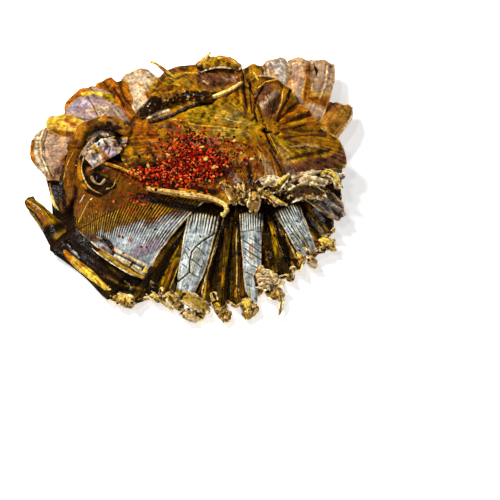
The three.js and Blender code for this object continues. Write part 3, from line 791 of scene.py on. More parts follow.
fan = [
    lay_fan("fan_front", 0, 11, (360, 120), 0.3),
    lay_fan("fan_right", 11, 14, (120, 90), 0.35),
    lay_fan("fan_back", 14, 22, (200, 50), 0.35),
    lay_fan("fan_left", 22, 25, (150, 110), 0.3),
]
print("fan:", sum(len(piece.data.polygons) for piece in fan), "faces")

# %% [markdown]
# Under the pleats the ray rests on its belly: a flat slab that rises to the rim. It is one closed
# disc whose upper face hides inside the pleats and whose lower face is the solid's own. Between
# the tiers stands a core, a low dome that is seen only under the crown's edge, as folds painted dark for the
# shade there.

# %% The belly
BELLY_OUT = 0.97  # share of the fan's reach that the belly has
BELLY_BELOW = 1.2  # mm, how far its upper face lies under the fan's
BELLY_LOWEST = 0.6  # mm


def belly_form(u, v):
    points = fan_form(u, v * BELLY_OUT)
    points[:, 2] = np.maximum(points[:, 2] - BELLY_BELOW, BELLY_LOWEST)
    return points


def belly_under(u, v, top):
    """The height of its lower face, which is flat and then rises to the rim."""
    out = v * BELLY_OUT
    rise = np.clip((out - FAN_FLAT_TO) / (1 - FAN_FLAT_TO), 0, 1)
    return np.where(out < FAN_FLAT_TO, 0, mix(0, np.maximum(top - SOLID_SKIN, 0), rise))


def belly_dress(spot):
    return 0 * spot.u, {"dark": 0.35 + 0.3 * cloud(spot.x, spot.y, 12, 4)}


lay_skin("belly", belly_form, (250, 40), (400, 130), belly_dress, ray_skin, True, under=belly_under)
print("the belly reaches", BELLY_OUT, "of the way to the rim")

# %% The core
CORE = SimpleNamespace(centre=[2, 18], reach=[88, 36], low=12, high=33)
CORE_UNDER = 1.0  # mm, height of its lower face


def core_form(u, v):
    """The body between the tiers, lower at the eye and highest under the crown's hub."""
    x = CORE.centre[0] + CORE.reach[0] * v * np.cos(2 * math.pi * u)
    y = CORE.centre[1] + CORE.reach[1] * v * np.sin(2 * math.pi * u)
    peak = mix(CORE.low, CORE.high, smooth(-45, 45, x))
    return np.column_stack([x, y, mix(peak, 5, v ** 3)])


def core_dress(spot):
    folds = rough(spot.x, spot.y, 7, 31)
    # painted dark as the shade under the crown, darker in the low folds
    return 1.2 * folds, {"dark": 0.75 - 0.4 * folds}


lay_skin("core", core_form, (180, 40), (400, 60), core_dress, ray_skin, True,
         under=lambda u, v, top: CORE_UNDER + 0 * u)
print("the core is up to", CORE.high, "mm high")

# %% [markdown]
# ## The upper tier
# The crown is the thick middle of the body. All its fibres run to one hub, so its grid does too:
# `u` goes round the rim and `v` from the hub outwards, and a ripple in `u` alone is a fibre.

# %% The crown's form
CROWN_HUB = [58, 28, 37]
CROWN_RIM = [
    [115, 7, 20], [114, 20, 23], [106, 30, 26], [97, 37, 28], [91, 48, 27], [81, 58, 27],
    [76, 69, 26], [65, 79, 25], [52, 80, 26], [44, 76, 29], [39, 85, 33], [11, 87, 34],
    [-13, 84, 32], [-22, 73, 29], [-28, 60, 28], [-38, 46, 27], [-46, 30, 26], [-46, 12, 25],
    [-35, -5, 27], [-27, -18, 30], [-8, -22, 31], [16, -26, 31], [29, -30, 30], [40, -25, 29],
    [55, -23, 26], [68, -15, 26], [76, -6, 26], [96, 2, 23],
]
CROWN_CREASES = np.array([-63, -21, 7, 30, 51, 73, 105])
CROWN_ARCH = 4.2  # mm, how far the skin stands up between two creases
BOWL = SimpleNamespace(centre=[4, 4], reach=[42, 24], depth=3.5)


def crown_form(u, v):
    edge = bend(CROWN_RIM, u % 1, closed=True)
    x, y = mix(CROWN_HUB[0], edge[:, 0], v), mix(CROWN_HUB[1], edge[:, 1], v)
    angle = np.degrees(np.arctan2(edge[:, 1] - CROWN_HUB[1], edge[:, 0] - CROWN_HUB[0]))
    k = np.clip(np.searchsorted(CROWN_CREASES, angle) - 1, 0, len(CROWN_CREASES) - 2)
    part = (angle - CROWN_CREASES[k]) / (CROWN_CREASES[k + 1] - CROWN_CREASES[k])
    arch = np.where((part >= 0) & (part <= 1), np.sin(math.pi * np.clip(part, 0, 1)), 0)
    arch = arch * CROWN_ARCH * smooth(0.1, 0.8, v)
    sag = BOWL.depth * mound(x, y, BOWL.centre, BOWL.reach)
    return np.column_stack([x, y, mix(CROWN_HUB[2], edge[:, 2], v ** 1.4) + arch - sag])


print("the crown has", len(CROWN_CREASES) - 1, "arches")

# %% The crown's marks
CROWN_MARKS = [
    # the gold middle, with painted olive shadows between its fibres and painted yellow highlights
    ("olive", [(196, 116), (214, 112), (232, 118), (250, 124)], 16, 0.8),
    ("olive", [(214, 134), (234, 136), (252, 132)], 11, 0.75),
    ("yellow", [(216, 130), (232, 133), (246, 134)], 8, 0.5),
    ("yellow", [(222, 112), (238, 116), (246, 124)], 7, 0.46),
    ("olive", [(180, 128), (196, 132)], 8, 0.7),
    ("dark", [(208, 118), (224, 108), (240, 112)], 3, 0.25, -0.2),
    # the back petal: gold at its left, mauve brown at its right
    ("amber", [(168, 72), (180, 70), (192, 74)], 12, 0.75),
    ("olive", [(172, 78), (186, 80)], 7, 0.6),
    ("yellow", [(166, 76), (178, 75), (190, 79)], 8, 0.42),
    ("purple", [(202, 78), (218, 78), (236, 80)], 12, 0.9),
    ("dark", [(200, 84), (214, 84), (228, 84)], 8, 0.45),
    ("mauve", [(224, 76), (236, 78)], 5, 0.35),
    ("dark", [(176, 90), (190, 92), (214, 92)], 4, 0.8, -0.3),
    # a painted glint
    ("cream", [(203, 79), (207, 82)], 1.2, 0.7, 0.2),
    ("amber", [(222, 92), (234, 88), (240, 96)], 6, 0.6),
    # under the roll: a whitish streak, and painted shadow below the roll
    ("cream", [(146, 117), (156, 112), (168, 109)], 2, 0.85, 0.8),
    ("dark", [(150, 121), (166, 116), (190, 106), (214, 98)], 2.4, 0.9, -1.2),
    # folds right of the back petal
    ("dark", [(243, 68), (244, 88), (247, 108)], 1.4, 0.85, -0.8),
    ("olive", [(240, 72), (240, 92), (243, 110)], 1.6, 0.6, 0.5),
    ("dark", [(250, 78), (250, 96), (252, 112)], 1.1, 0.75, -0.6),
    ("yellow", [(247, 70), (249, 90), (250, 108)], 0.8, 0.45, 0.4),
    ("yellow", [(252, 66), (255, 71), (258, 77)], 1.2, 0.85, 0.8),
    # the mauve brown petal: gold at its rim, dark along both its sides, a painted pale gloss in its middle
    ("amber", [(256, 92), (262, 83), (276, 79), (288, 86)], 4, 0.8),
    ("purple", [(264, 92), (272, 98), (272, 108)], 12, 1),
    ("pearl", [(262, 106), (268, 98), (276, 91)], 4.5, 0.75, 0.3),
    ("cream", [(264, 103), (271, 95)], 1.6, 0.7, 0.2),
    ("dark", [(263, 84), (256, 96), (254, 110), (257, 120)], 1.6, 0.85, -0.8),
    ("dark", [(266, 92), (272, 104), (276, 114)], 0.8, 0.6, -0.3),
    ("yellow", [(285, 82), (283, 96), (277, 114)], 0.8, 0.6, 0.5),
    ("dark", [(291, 88), (286, 102), (278, 120)], 2.6, 0.85, -0.8),
    ("yellow", [(258, 86), (266, 79), (278, 77), (288, 84)], 0.9, 0.7, 0.6),
    # painted highlights along the crests of the folds
    ("yellow", [(186, 122), (204, 126), (222, 127), (240, 129)], 1, 0.6, 0.4),
    ("yellow", [(196, 134), (214, 138), (232, 137)], 0.9, 0.6, 0.3),
    ("cream", [(214, 116), (226, 118), (240, 122)], 0.6, 0.6, 0.2),
    ("yellow", [(150, 132), (160, 140), (172, 146)], 0.8, 0.5, 0.3),
    ("cream", [(154, 143), (160, 149)], 1.2, 0.7, 0.3),
    ("cream", [(190, 126), (199, 131)], 0.8, 0.6, 0.2),
    ("dark", [(188, 128), (206, 131), (226, 131)], 0.8, 0.5, -0.3),
    ("yellow", [(170, 74), (184, 70), (196, 71)], 1.4, 0.5, 0.3),
    ("olive", [(166, 82), (178, 86)], 6, 0.8),
    ("yellow", [(296, 122), (312, 116), (330, 118)], 1.2, 0.6, 0.4),
    ("dark", [(294, 128), (310, 122), (330, 124)], 1.4, 0.6, -0.4),
    # the hub
    ("dark", [(262, 129), (266, 131), (271, 131)], 1.6, 1, -1.5),
    ("dark", [(275, 134), (279, 133)], 1, 1, -0.8),
    ("dark", [(252, 119), (256, 115)], 1, 1, -0.8),
    ("dark", [(257, 147), (261, 152)], 1, 1, -0.8),
    ("dark", [(266, 134), (270, 144), (276, 154)], 1.2, 1, -1),
    ("yellow", [(269, 134), (274, 144), (279, 154)], 0.7, 0.7, 0.7),
    # front of the hub, down to the torn edge
    ("amber", [(250, 150), (256, 164), (258, 176)], 8, 0.75),
    ("amber", [(260, 148), (274, 158), (284, 170)], 9, 0.6),
    ("dark", [(248, 146), (264, 156), (280, 166)], 12, 0.3),
    ("pearl", [(262, 158), (268, 170), (276, 178)], 5, 0.55),
    ("dark", [(246, 160), (250, 172), (252, 184)], 3.5, 0.7, -0.4),
    ("dark", [(270, 150), (280, 168), (286, 180)], 2.2, 0.7, -0.5),
    ("yellow", [(258, 150), (264, 166), (268, 180)], 0.8, 0.4, 0.3),
    # the right lobe: gold folds above, mauve with fine fibres below, a painted highlight across its middle
    ("amber", [(286, 118), (300, 112), (318, 112)], 12, 0.9),
    ("yellow", [(296, 114), (310, 108), (322, 110)], 2, 0.4, 0.2),
    ("olive", [(290, 122), (306, 118)], 4, 0.6, 0.3),
    ("amber", [(306, 124), (322, 122), (338, 124)], 8, 0.6),
    # painted highlight along the lobe
    ("yellow", [(290, 148), (304, 144), (318, 146)], 2.2, 0.5, 0.5),
    ("dark", [(286, 138), (304, 134), (326, 134)], 2.4, 0.55, -0.6),
    ("olive", [(288, 152), (300, 150), (312, 150)], 4, 0.6, 0.3),
    ("dark", [(288, 160), (306, 155), (330, 150)], 3, 0.6, -0.5),
    ("purple", [(288, 170), (306, 166), (326, 162), (342, 156)], 7, 0.9),
    ("purple", [(162, 124), (172, 127), (180, 130)], 6, 0.6),
    ("amber", [(136, 126), (150, 138), (160, 148)], 12, 0.85),
    ("amber", [(176, 138), (196, 142), (214, 142)], 8, 0.6),
    # painted highlight along the right lobe
    ("pearl", [(290, 148), (304, 145), (320, 147)], 1.2, 0.7, 0.2),
    ("pearl", [(296, 162), (312, 158), (332, 154)], 1.8, 0.3, 0.2),
    # a painted silver glint by the chilli, and painted shade on the skin under the chilli heap
    ("pearl", [(227, 168), (233, 174), (237, 180)], 5, 0.7),
    ("silver", [(228, 172), (234, 178)], 3, 0.55),
    ("dark", [(140, 178), (160, 186), (190, 188), (214, 192)], 6, 0.85, -0.3),
    ("dark", [(146, 172), (176, 168), (200, 168), (224, 170)], 17, 0.9, -0.3),
    ("dark", [(160, 152), (186, 152), (210, 152)], 9, 0.5),
]
print(len(CROWN_MARKS), "marks on the crown")

# %% How the crown is dressed
CROWN_ROUND = 450  # mm round the rim
FIBRE_WIDE, RIB_WIDE, CROWN_RIM_WIDE = 1.6, 11, 1.3  # mm
FOLD_SIZE, KNOT_SIZE, VEIN_SIZE = 17, 3.5, 9  # mm


def on_ring(spot, drift):
    """Places on a ring as long as the rim, which drift as they go out: noise there has no seam."""
    far = np.hypot(spot.x - CROWN_HUB[0], spot.y - CROWN_HUB[1])
    radius = CROWN_ROUND / (2 * math.pi)
    turn = 2 * math.pi * spot.u
    return radius * np.cos(turn) + drift * far, radius * np.sin(turn) - drift * far


def crown_dress(spot):
    """Fibres that fan out from the hub, soft folds across them and a rolled rim."""
    far = np.hypot(spot.x - CROWN_HUB[0], spot.y - CROWN_HUB[1])
    fibres = cloud(*on_ring(spot, 0.07), FIBRE_WIDE, 2)
    ribs = wrinkle(*on_ring(spot, 0.12), RIB_WIDE, 12) - 0.5
    out = smooth(0.08, 0.4, spot.v)
    folds = rough(spot.x, spot.y, FOLD_SIZE, 41)
    knots = rough(spot.x, spot.y, KNOT_SIZE, 43)
    veins = wrinkle(spot.x, spot.y, VEIN_SIZE, 47)
    right = 0.25 + 0.75 * smooth(10, 75, spot.x)
    relief = (0.2 * fibres + 0.5 * ribs * right) * out + 1.6 * folds + 0.35 * knots + 0.28 * veins
    edge = (1 - spot.v) * far / np.maximum(spot.v, 0.05)
    rim = np.exp(-(edge / CROWN_RIM_WIDE) ** 2)
    rag = cloud(*on_ring(spot, 0), 5, 8)
    relief += rim * (0.6 + 0.8 * rag)
    # Painted light: these cream lines stand for fine glints, yellow on the tops of the knots and ribs is
    # painted highlight, and the dark in the grooves of the fibres and ribs and in the low folds is painted
    # shade.
    glint_lines = smooth(0.9, 1.0, wrinkle(*on_ring(spot, 0.05), 5, 60)) * smooth(0.0, 0.4, knots)
    olive = 0.5 * smooth(0.1, 0.5, ribs) + 0.25 * smooth(0.75, 1.0, veins)
    dark = 0.26 * smooth(0.0, -0.9, fibres) + 0.14 * smooth(-0.2, -0.48, ribs) * right
    masks = {
        "olive": olive + 0.3 * smooth(-0.2, 0.6, folds),
        "dark": dark * out + 0.3 * smooth(0.0, -0.6, folds) * smooth(0.3, 0.0, veins),
        "amber": 0.5 * smooth(0.0, 0.5, rough(spot.x, spot.y, 20, 44)),
        "yellow": 0.6 * rim + 0.45 * smooth(0.3, 0.8, knots) * smooth(0.2, 0.5, ribs),
        "cream": np.maximum(0.7 * rim * smooth(0, 0.5, rag), 0.75 * glint_lines * out),
    }
    relief += stroke_marks(spot, CROWN_MARKS, masks)
    return relief, masks

# %% Lay the crown
crown = lay_skin("crown", crown_form, (600, 78), (CROWN_ROUND, 70), crown_dress, ray_skin, True)
print("crown:", len(crown.data.polygons), "faces")

# %% [markdown]
# ## The left wing
# The wing is a broad sheet, ruled from its left side to its right one, whose ribs run to its
# front edge. Amber at the top, it turns to silver below, and the ribs cross that border like the
# teeth of a comb. The torn eye socket is sunk in its back left.

# %% The wing
WING_LEFT = np.array([[-76, 22, 21], [-80, -14, 17], [-78, -39, 12]], float)
WING_RIGHT = np.array([[20, -18, 25], [-9, -46, 16], [-27, -77, 5]], float)
WING_ARCH, WING_BULGE = 6, 5  # mm up and forwards, half way across
SOCKET = SimpleNamespace(centre=[-62, -3], reach=[13, 12], depth=8)


def wing_form(u, v):
    left = through(*[p[None, :] for p in WING_LEFT], v[:, None])
    right = through(*[p[None, :] for p in WING_RIGHT], v[:, None])
    points = mix(left, right, u[:, None])
    bulge = np.sin(math.pi * u)
    points[:, 1] -= WING_BULGE * bulge * v
    points[:, 2] += WING_ARCH * bulge * (0.4 + 0.6 * np.sin(math.pi * v))
    points[:, 2] -= SOCKET.depth * mound(points[:, 0], points[:, 1], SOCKET.centre, SOCKET.reach)
    return points


print("the eye socket is", SOCKET.depth, "mm deep")

# %% The wing's marks
WING_BORDER = [  # amber above and silver below
    (60, 238), (79, 236), (100, 233), (112, 231), (124, 226), (134, 224), (147, 224), (156, 220), (166, 217),
    (196, 209),
]
WING_MARKS = [
    # painted shade in the eye socket, these two
    ("dark", [(82, 154), (82, 172), (88, 188), (100, 194), (112, 186)], 5, 0.95, -1.2),
    ("dark", [(96, 168), (100, 182)], 8, 0.75),
    ("purple", [(98, 161), (106, 168)], 4, 0.6, 0.3),
    ("olive", [(98, 172), (107, 176)], 2.6, 0.7, 0.3),
    ("amber", [(86, 170), (90, 182)], 2, 0.6, 0.3),
    ("dark", [(112, 150), (124, 160), (140, 176), (150, 190)], 4, 0.5, -0.5),
    # painted shadow under the cream rod
    ("dark", [(140, 196), (170, 205), (205, 210)], 5, 0.9),
    ("cream", [(84, 195), (82, 199), (80, 202)], 1.1, 0.7, 0.3),
    ("cream", [(92, 198), (90, 200)], 0.9, 0.6, 0.3),
    ("yellow", [(89, 201), (85, 208), (79, 222)], 0.6, 0.7, 0.2),
    ("dark", [(78, 230), (88, 225), (96, 220), (106, 215), (116, 210)], 0.6, 0.9, -0.4),
    ("dark", [(72, 190), (69, 214), (74, 236)], 7, 1),
    # the mottled left end of the silver
    ("purple", [(90, 238), (99, 240), (108, 242)], 5, 0.6),
    ("dark", [(104, 240), (111, 245), (113, 252)], 5, 0.85, -0.4),
    ("purple", [(104, 248), (110, 252)], 3, 0.7),
    ("amber", [(87, 242), (91, 245)], 2.2, 0.9, 0.4),
    ("cream", [(93, 242), (98, 246), (101, 250)], 1.2, 0.9, 0.5),
    ("cream", [(98, 237), (103, 239)], 0.8, 0.6, 0.3),
    ("dark", [(94, 250), (102, 255)], 1.6, 0.9, -0.3),
    # lavender towards the front right, white in the middle
    ("mauve", [(138, 252), (148, 250), (156, 244)], 8, 0.75),
    ("silver", [(122, 240), (140, 238), (158, 228), (172, 224)], 6, 1),
    # folds along the hem
    ("cream", [(117, 250), (130, 257), (147, 266)], 2, 1, 0.8),
    ("dark", [(116, 253), (130, 260), (146, 269)], 0.6, 0.9, -0.5),
    ("cream", [(116, 256), (130, 262.5), (146, 272)], 1.2, 0.9, 0.5),
    ("dark", [(110, 256), (124, 264), (138, 271)], 1.6, 0.95, -0.8),
    ("cream", [(80, 237), (86, 243), (94, 250)], 0.9, 0.95, 0.9),
    ("yellow", [(141, 272), (147, 274), (151, 278)], 3.4, 0.95, 0.8),
    ("cream", [(196, 210), (178, 232), (160, 250), (150, 268)], 1, 0.95, 0.7),
]
print(len(WING_MARKS), "marks on the wing")

# %% How the wing is dressed
WING_RIBS = 42  # ribs across the wing, 2 to 3 px apart where they show
WING_WIDE, WING_LONG = 90, 75  # mm, about
WING_RIM_WIDE = 1.2  # mm


def wing_dress(spot):
    """Ribs that cross the border between amber and silver, and a crumpled socket painted dark as its shade.
    """
    across = spot.u * WING_RIBS
    ribs = np.cos(2 * math.pi * (across + 0.2 * cloud(spot.x, spot.y, 14, 6)))
    border = np.interp(spot.px, *np.array(WING_BORDER, float).T)
    below = spot.py - border
    change = smooth(-9, 10, below + 3.5 * cloud(across, 0 * across, 2.3, 15))
    right = smooth(118, 165, spot.px)
    ribbed = smooth(-24, -17, below) * (1 - smooth(2 + 14 * right, 14 + 26 * right, below))
    lines = smooth(0.1, -0.6, ribs) * ribbed
    relief = 0.22 * ribs * ribbed + 1.0 * rough(spot.x, spot.y, 14, 51)
    relief += 0.25 * rough(spot.x, spot.y, 3, 52)
    socket = mound(spot.x, spot.y, SOCKET.centre, [s * 1.15 for s in SOCKET.reach])
    relief += socket * 1.8 * rough(spot.x, spot.y, 3.2, 61)
    edge = np.minimum((1 - spot.v) * WING_LONG, (1 - spot.u) * WING_WIDE)
    rim = np.exp(-(edge / WING_RIM_WIDE) ** 2)
    relief += 0.6 * rim
    blotch = rough(spot.x, spot.y, 9, 72)
    left = smooth(80, 68, spot.px)
    # Painted light: the sunk socket is painted dark as its shade, and olive, yellow and cream on the rib
    # crests are partly the skin's colour and partly painted highlight.
    masks = {
        "silver": change * (1 - 0.65 * lines) * (0.98 - 0.2 * smooth(0.2, 0.8, blotch)),
        "mauve": 0.4 * smooth(0, 8, below) * smooth(0.1, 0.6, blotch),
        "amber": 0.42 * (1 - change) * smooth(-0.5, 0.3, rough(spot.x, spot.y, 18, 74)),
        "dark": np.clip(0.85 * lines + 0.95 * smooth(0.2, 0.6, socket) + left, 0, 1),
        "olive": 0.6 * (1 - change) * ribbed * smooth(-0.4, 0.6, ribs)
        + 0.3 * (1 - change) * smooth(-0.2, 0.6, rough(spot.x, spot.y, 16, 73)),
        "yellow": 0.2 * smooth(0.3, 0.9, ribs) * ribbed * (1 - change),
        "cream": np.maximum(0.85 * rim, 0.5 * smooth(0.3, 0.9, ribs) * ribbed * change),
    }
    relief += stroke_marks(spot, WING_MARKS, masks)
    return relief, masks


wing = lay_skin("wing", wing_form, (400, 122), (100, 75), wing_dress, wing_skin)
print("wing:", len(wing.data.polygons), "faces")

# %% [markdown]
# ## Petals, panels and strips
# Round the crown the skin ends in petals. Each is a bent strip given by three points of its
# spine and three widths. A petal's body and its rim have a mask each, and folds and fibres run
# along it. The three pale strips at the front show the ray's gill skin: a comb of ridges at the
# top, then silver with dark cracks.

# %% The form of a petal


def petal_form(petal):
    spine_points = [np.array(p, float)[None, :] for p in (petal.root, petal.crest, petal.tip)]

    def form(u, v):
        def spine(t):
            return through(*spine_points, t[:, None])

        centre = spine(v)
        step = spine(np.minimum(1, v + 0.02)) - spine(np.maximum(0, v - 0.02))
        step /= np.hypot(step[:, 0], step[:, 1])[:, None]
        across = u * 2 - 1
        end = smooth(0.7, 1, v) * 0.45 * petal.round_tip
        half = through(*petal.wide, v) / 2 * (1 - end * across ** 2 * 0.6)
        side = cloud(v * 40 + 9 * petal.seed, np.sign(across) * 50, 9, petal.seed)
        half = half * (1 + 0.055 * petal.ragged * side)
        back = end * across ** 2 * petal.wide[1] * 0.35
        back = back + petal.ragged * smooth(0.7, 1, v) * rough(u * petal.wide[1], 0 * u, 5, petal.seed)
        lift = petal.arch * (1 - across ** 2) * np.sin(math.pi * np.minimum(1, 0.1 + v * 0.8))
        return np.column_stack([
            centre[:, 0] + step[:, 1] * across * half - step[:, 0] * back,
            centre[:, 1] - step[:, 0] * across * half - step[:, 1] * back,
            centre[:, 2] + lift + petal.curl * smooth(0.75, 1, v),
        ])

    return form

# %% What one petal needs
USUAL_PETAL = {
    "curl": 0,  # mm that the tip turns up
    "seed": 1,  # of all its noise
    "folds": 1,  # folds along it
    "fold": 0.3,  # mm, their depth
    "rim_wide": 1.6,  # mm
    "root_dark": 0.2,  # share of its length, from the root, painted dark as shade where it lies under other skin
    "crumple": 0.6,  # mm
    "crumple_size": 7,  # mm
    "ragged": 1.1,  # how torn its edges are
    "round_tip": 1.0,
}


def petal(name, root, crest, tip, wide, arch, body=None, rim=None, marks=(), skin=None, **more):
    """A petal's spine, its widths, its masks and what else isn't as usual."""
    return SimpleNamespace(name=name, root=root, crest=crest, tip=tip, wide=wide, arch=arch, body=body or {},
                           rim=rim or {}, marks=list(marks), skin=skin or ray_skin, **{**USUAL_PETAL, **more})


def petal_length(shape):
    spine = [np.array(p, float) for p in (shape.root, shape.crest, shape.tip)]
    return np.linalg.norm(spine[1] - spine[0]) + np.linalg.norm(spine[2] - spine[1])


print("a petal usually has a rim of", USUAL_PETAL["rim_wide"], "mm")

# %% How a petal is dressed and laid


def petal_dress(shape):
    length, width = petal_length(shape), shape.wide[1]

    def dress(spot):
        across = spot.u * 2 - 1
        along = spot.v * length
        edge = np.minimum((1 - spot.v) * length, (1 - np.abs(across)) * width / 2)
        rim = np.exp(-(edge / shape.rim_wide) ** 2)
        wave = shape.folds * across + 0.8 * cloud(spot.x, spot.y, 14, shape.seed)
        fold = np.cos(math.pi * wave) * smooth(0, 0.35, spot.v)
        fibres = cloud(spot.u * width, along * 0.06, 1.6, shape.seed + 3)
        relief = shape.fold * fold + 0.14 * fibres
        relief += shape.crumple * rough(spot.x, spot.y, shape.crumple_size, shape.seed + 5)
        relief += 0.6 * rim
        plain = 0.5 if shape.skin is thin_skin else 1.0
        # Painted shade in the grooves of the fibres, the valleys of the folds and over the root, which lies
        # under other skin.
        masks = {"dark": 0.25 * smooth(-0.25, -0.8, fibres) + 0.35 * smooth(-0.2, -1, fold)}
        masks["dark"] = plain * masks["dark"] + 1 - smooth(0.1, shape.root_dark, spot.v)
        masks["dark"] = np.clip(masks["dark"], 0, 1)
        for mask, amount in shape.body.items():
            masks[mask] = np.maximum(masks.get(mask, 0), amount * (1 - 0.8 * rim))
        for mask, amount in shape.rim.items():
            masks[mask] = np.maximum(masks.get(mask, 0), amount * rim)
        masks["dark"] = masks["dark"] * (1 - 0.8 * rim)
        return relief + stroke_marks(spot, shape.marks, masks), masks

    return dress


def lay_petal(shape, step=0.75, thick=THIN):
    """One petal, its grid about as fine as `step` in mm."""
    length, width = petal_length(shape), max(shape.wide)
    grid = (max(16, int(width / step)), max(24, int(length / step)))
    return lay_skin(shape.name, petal_form(shape), grid, (width, length), petal_dress(shape), shape.skin,
                    thick=thick)

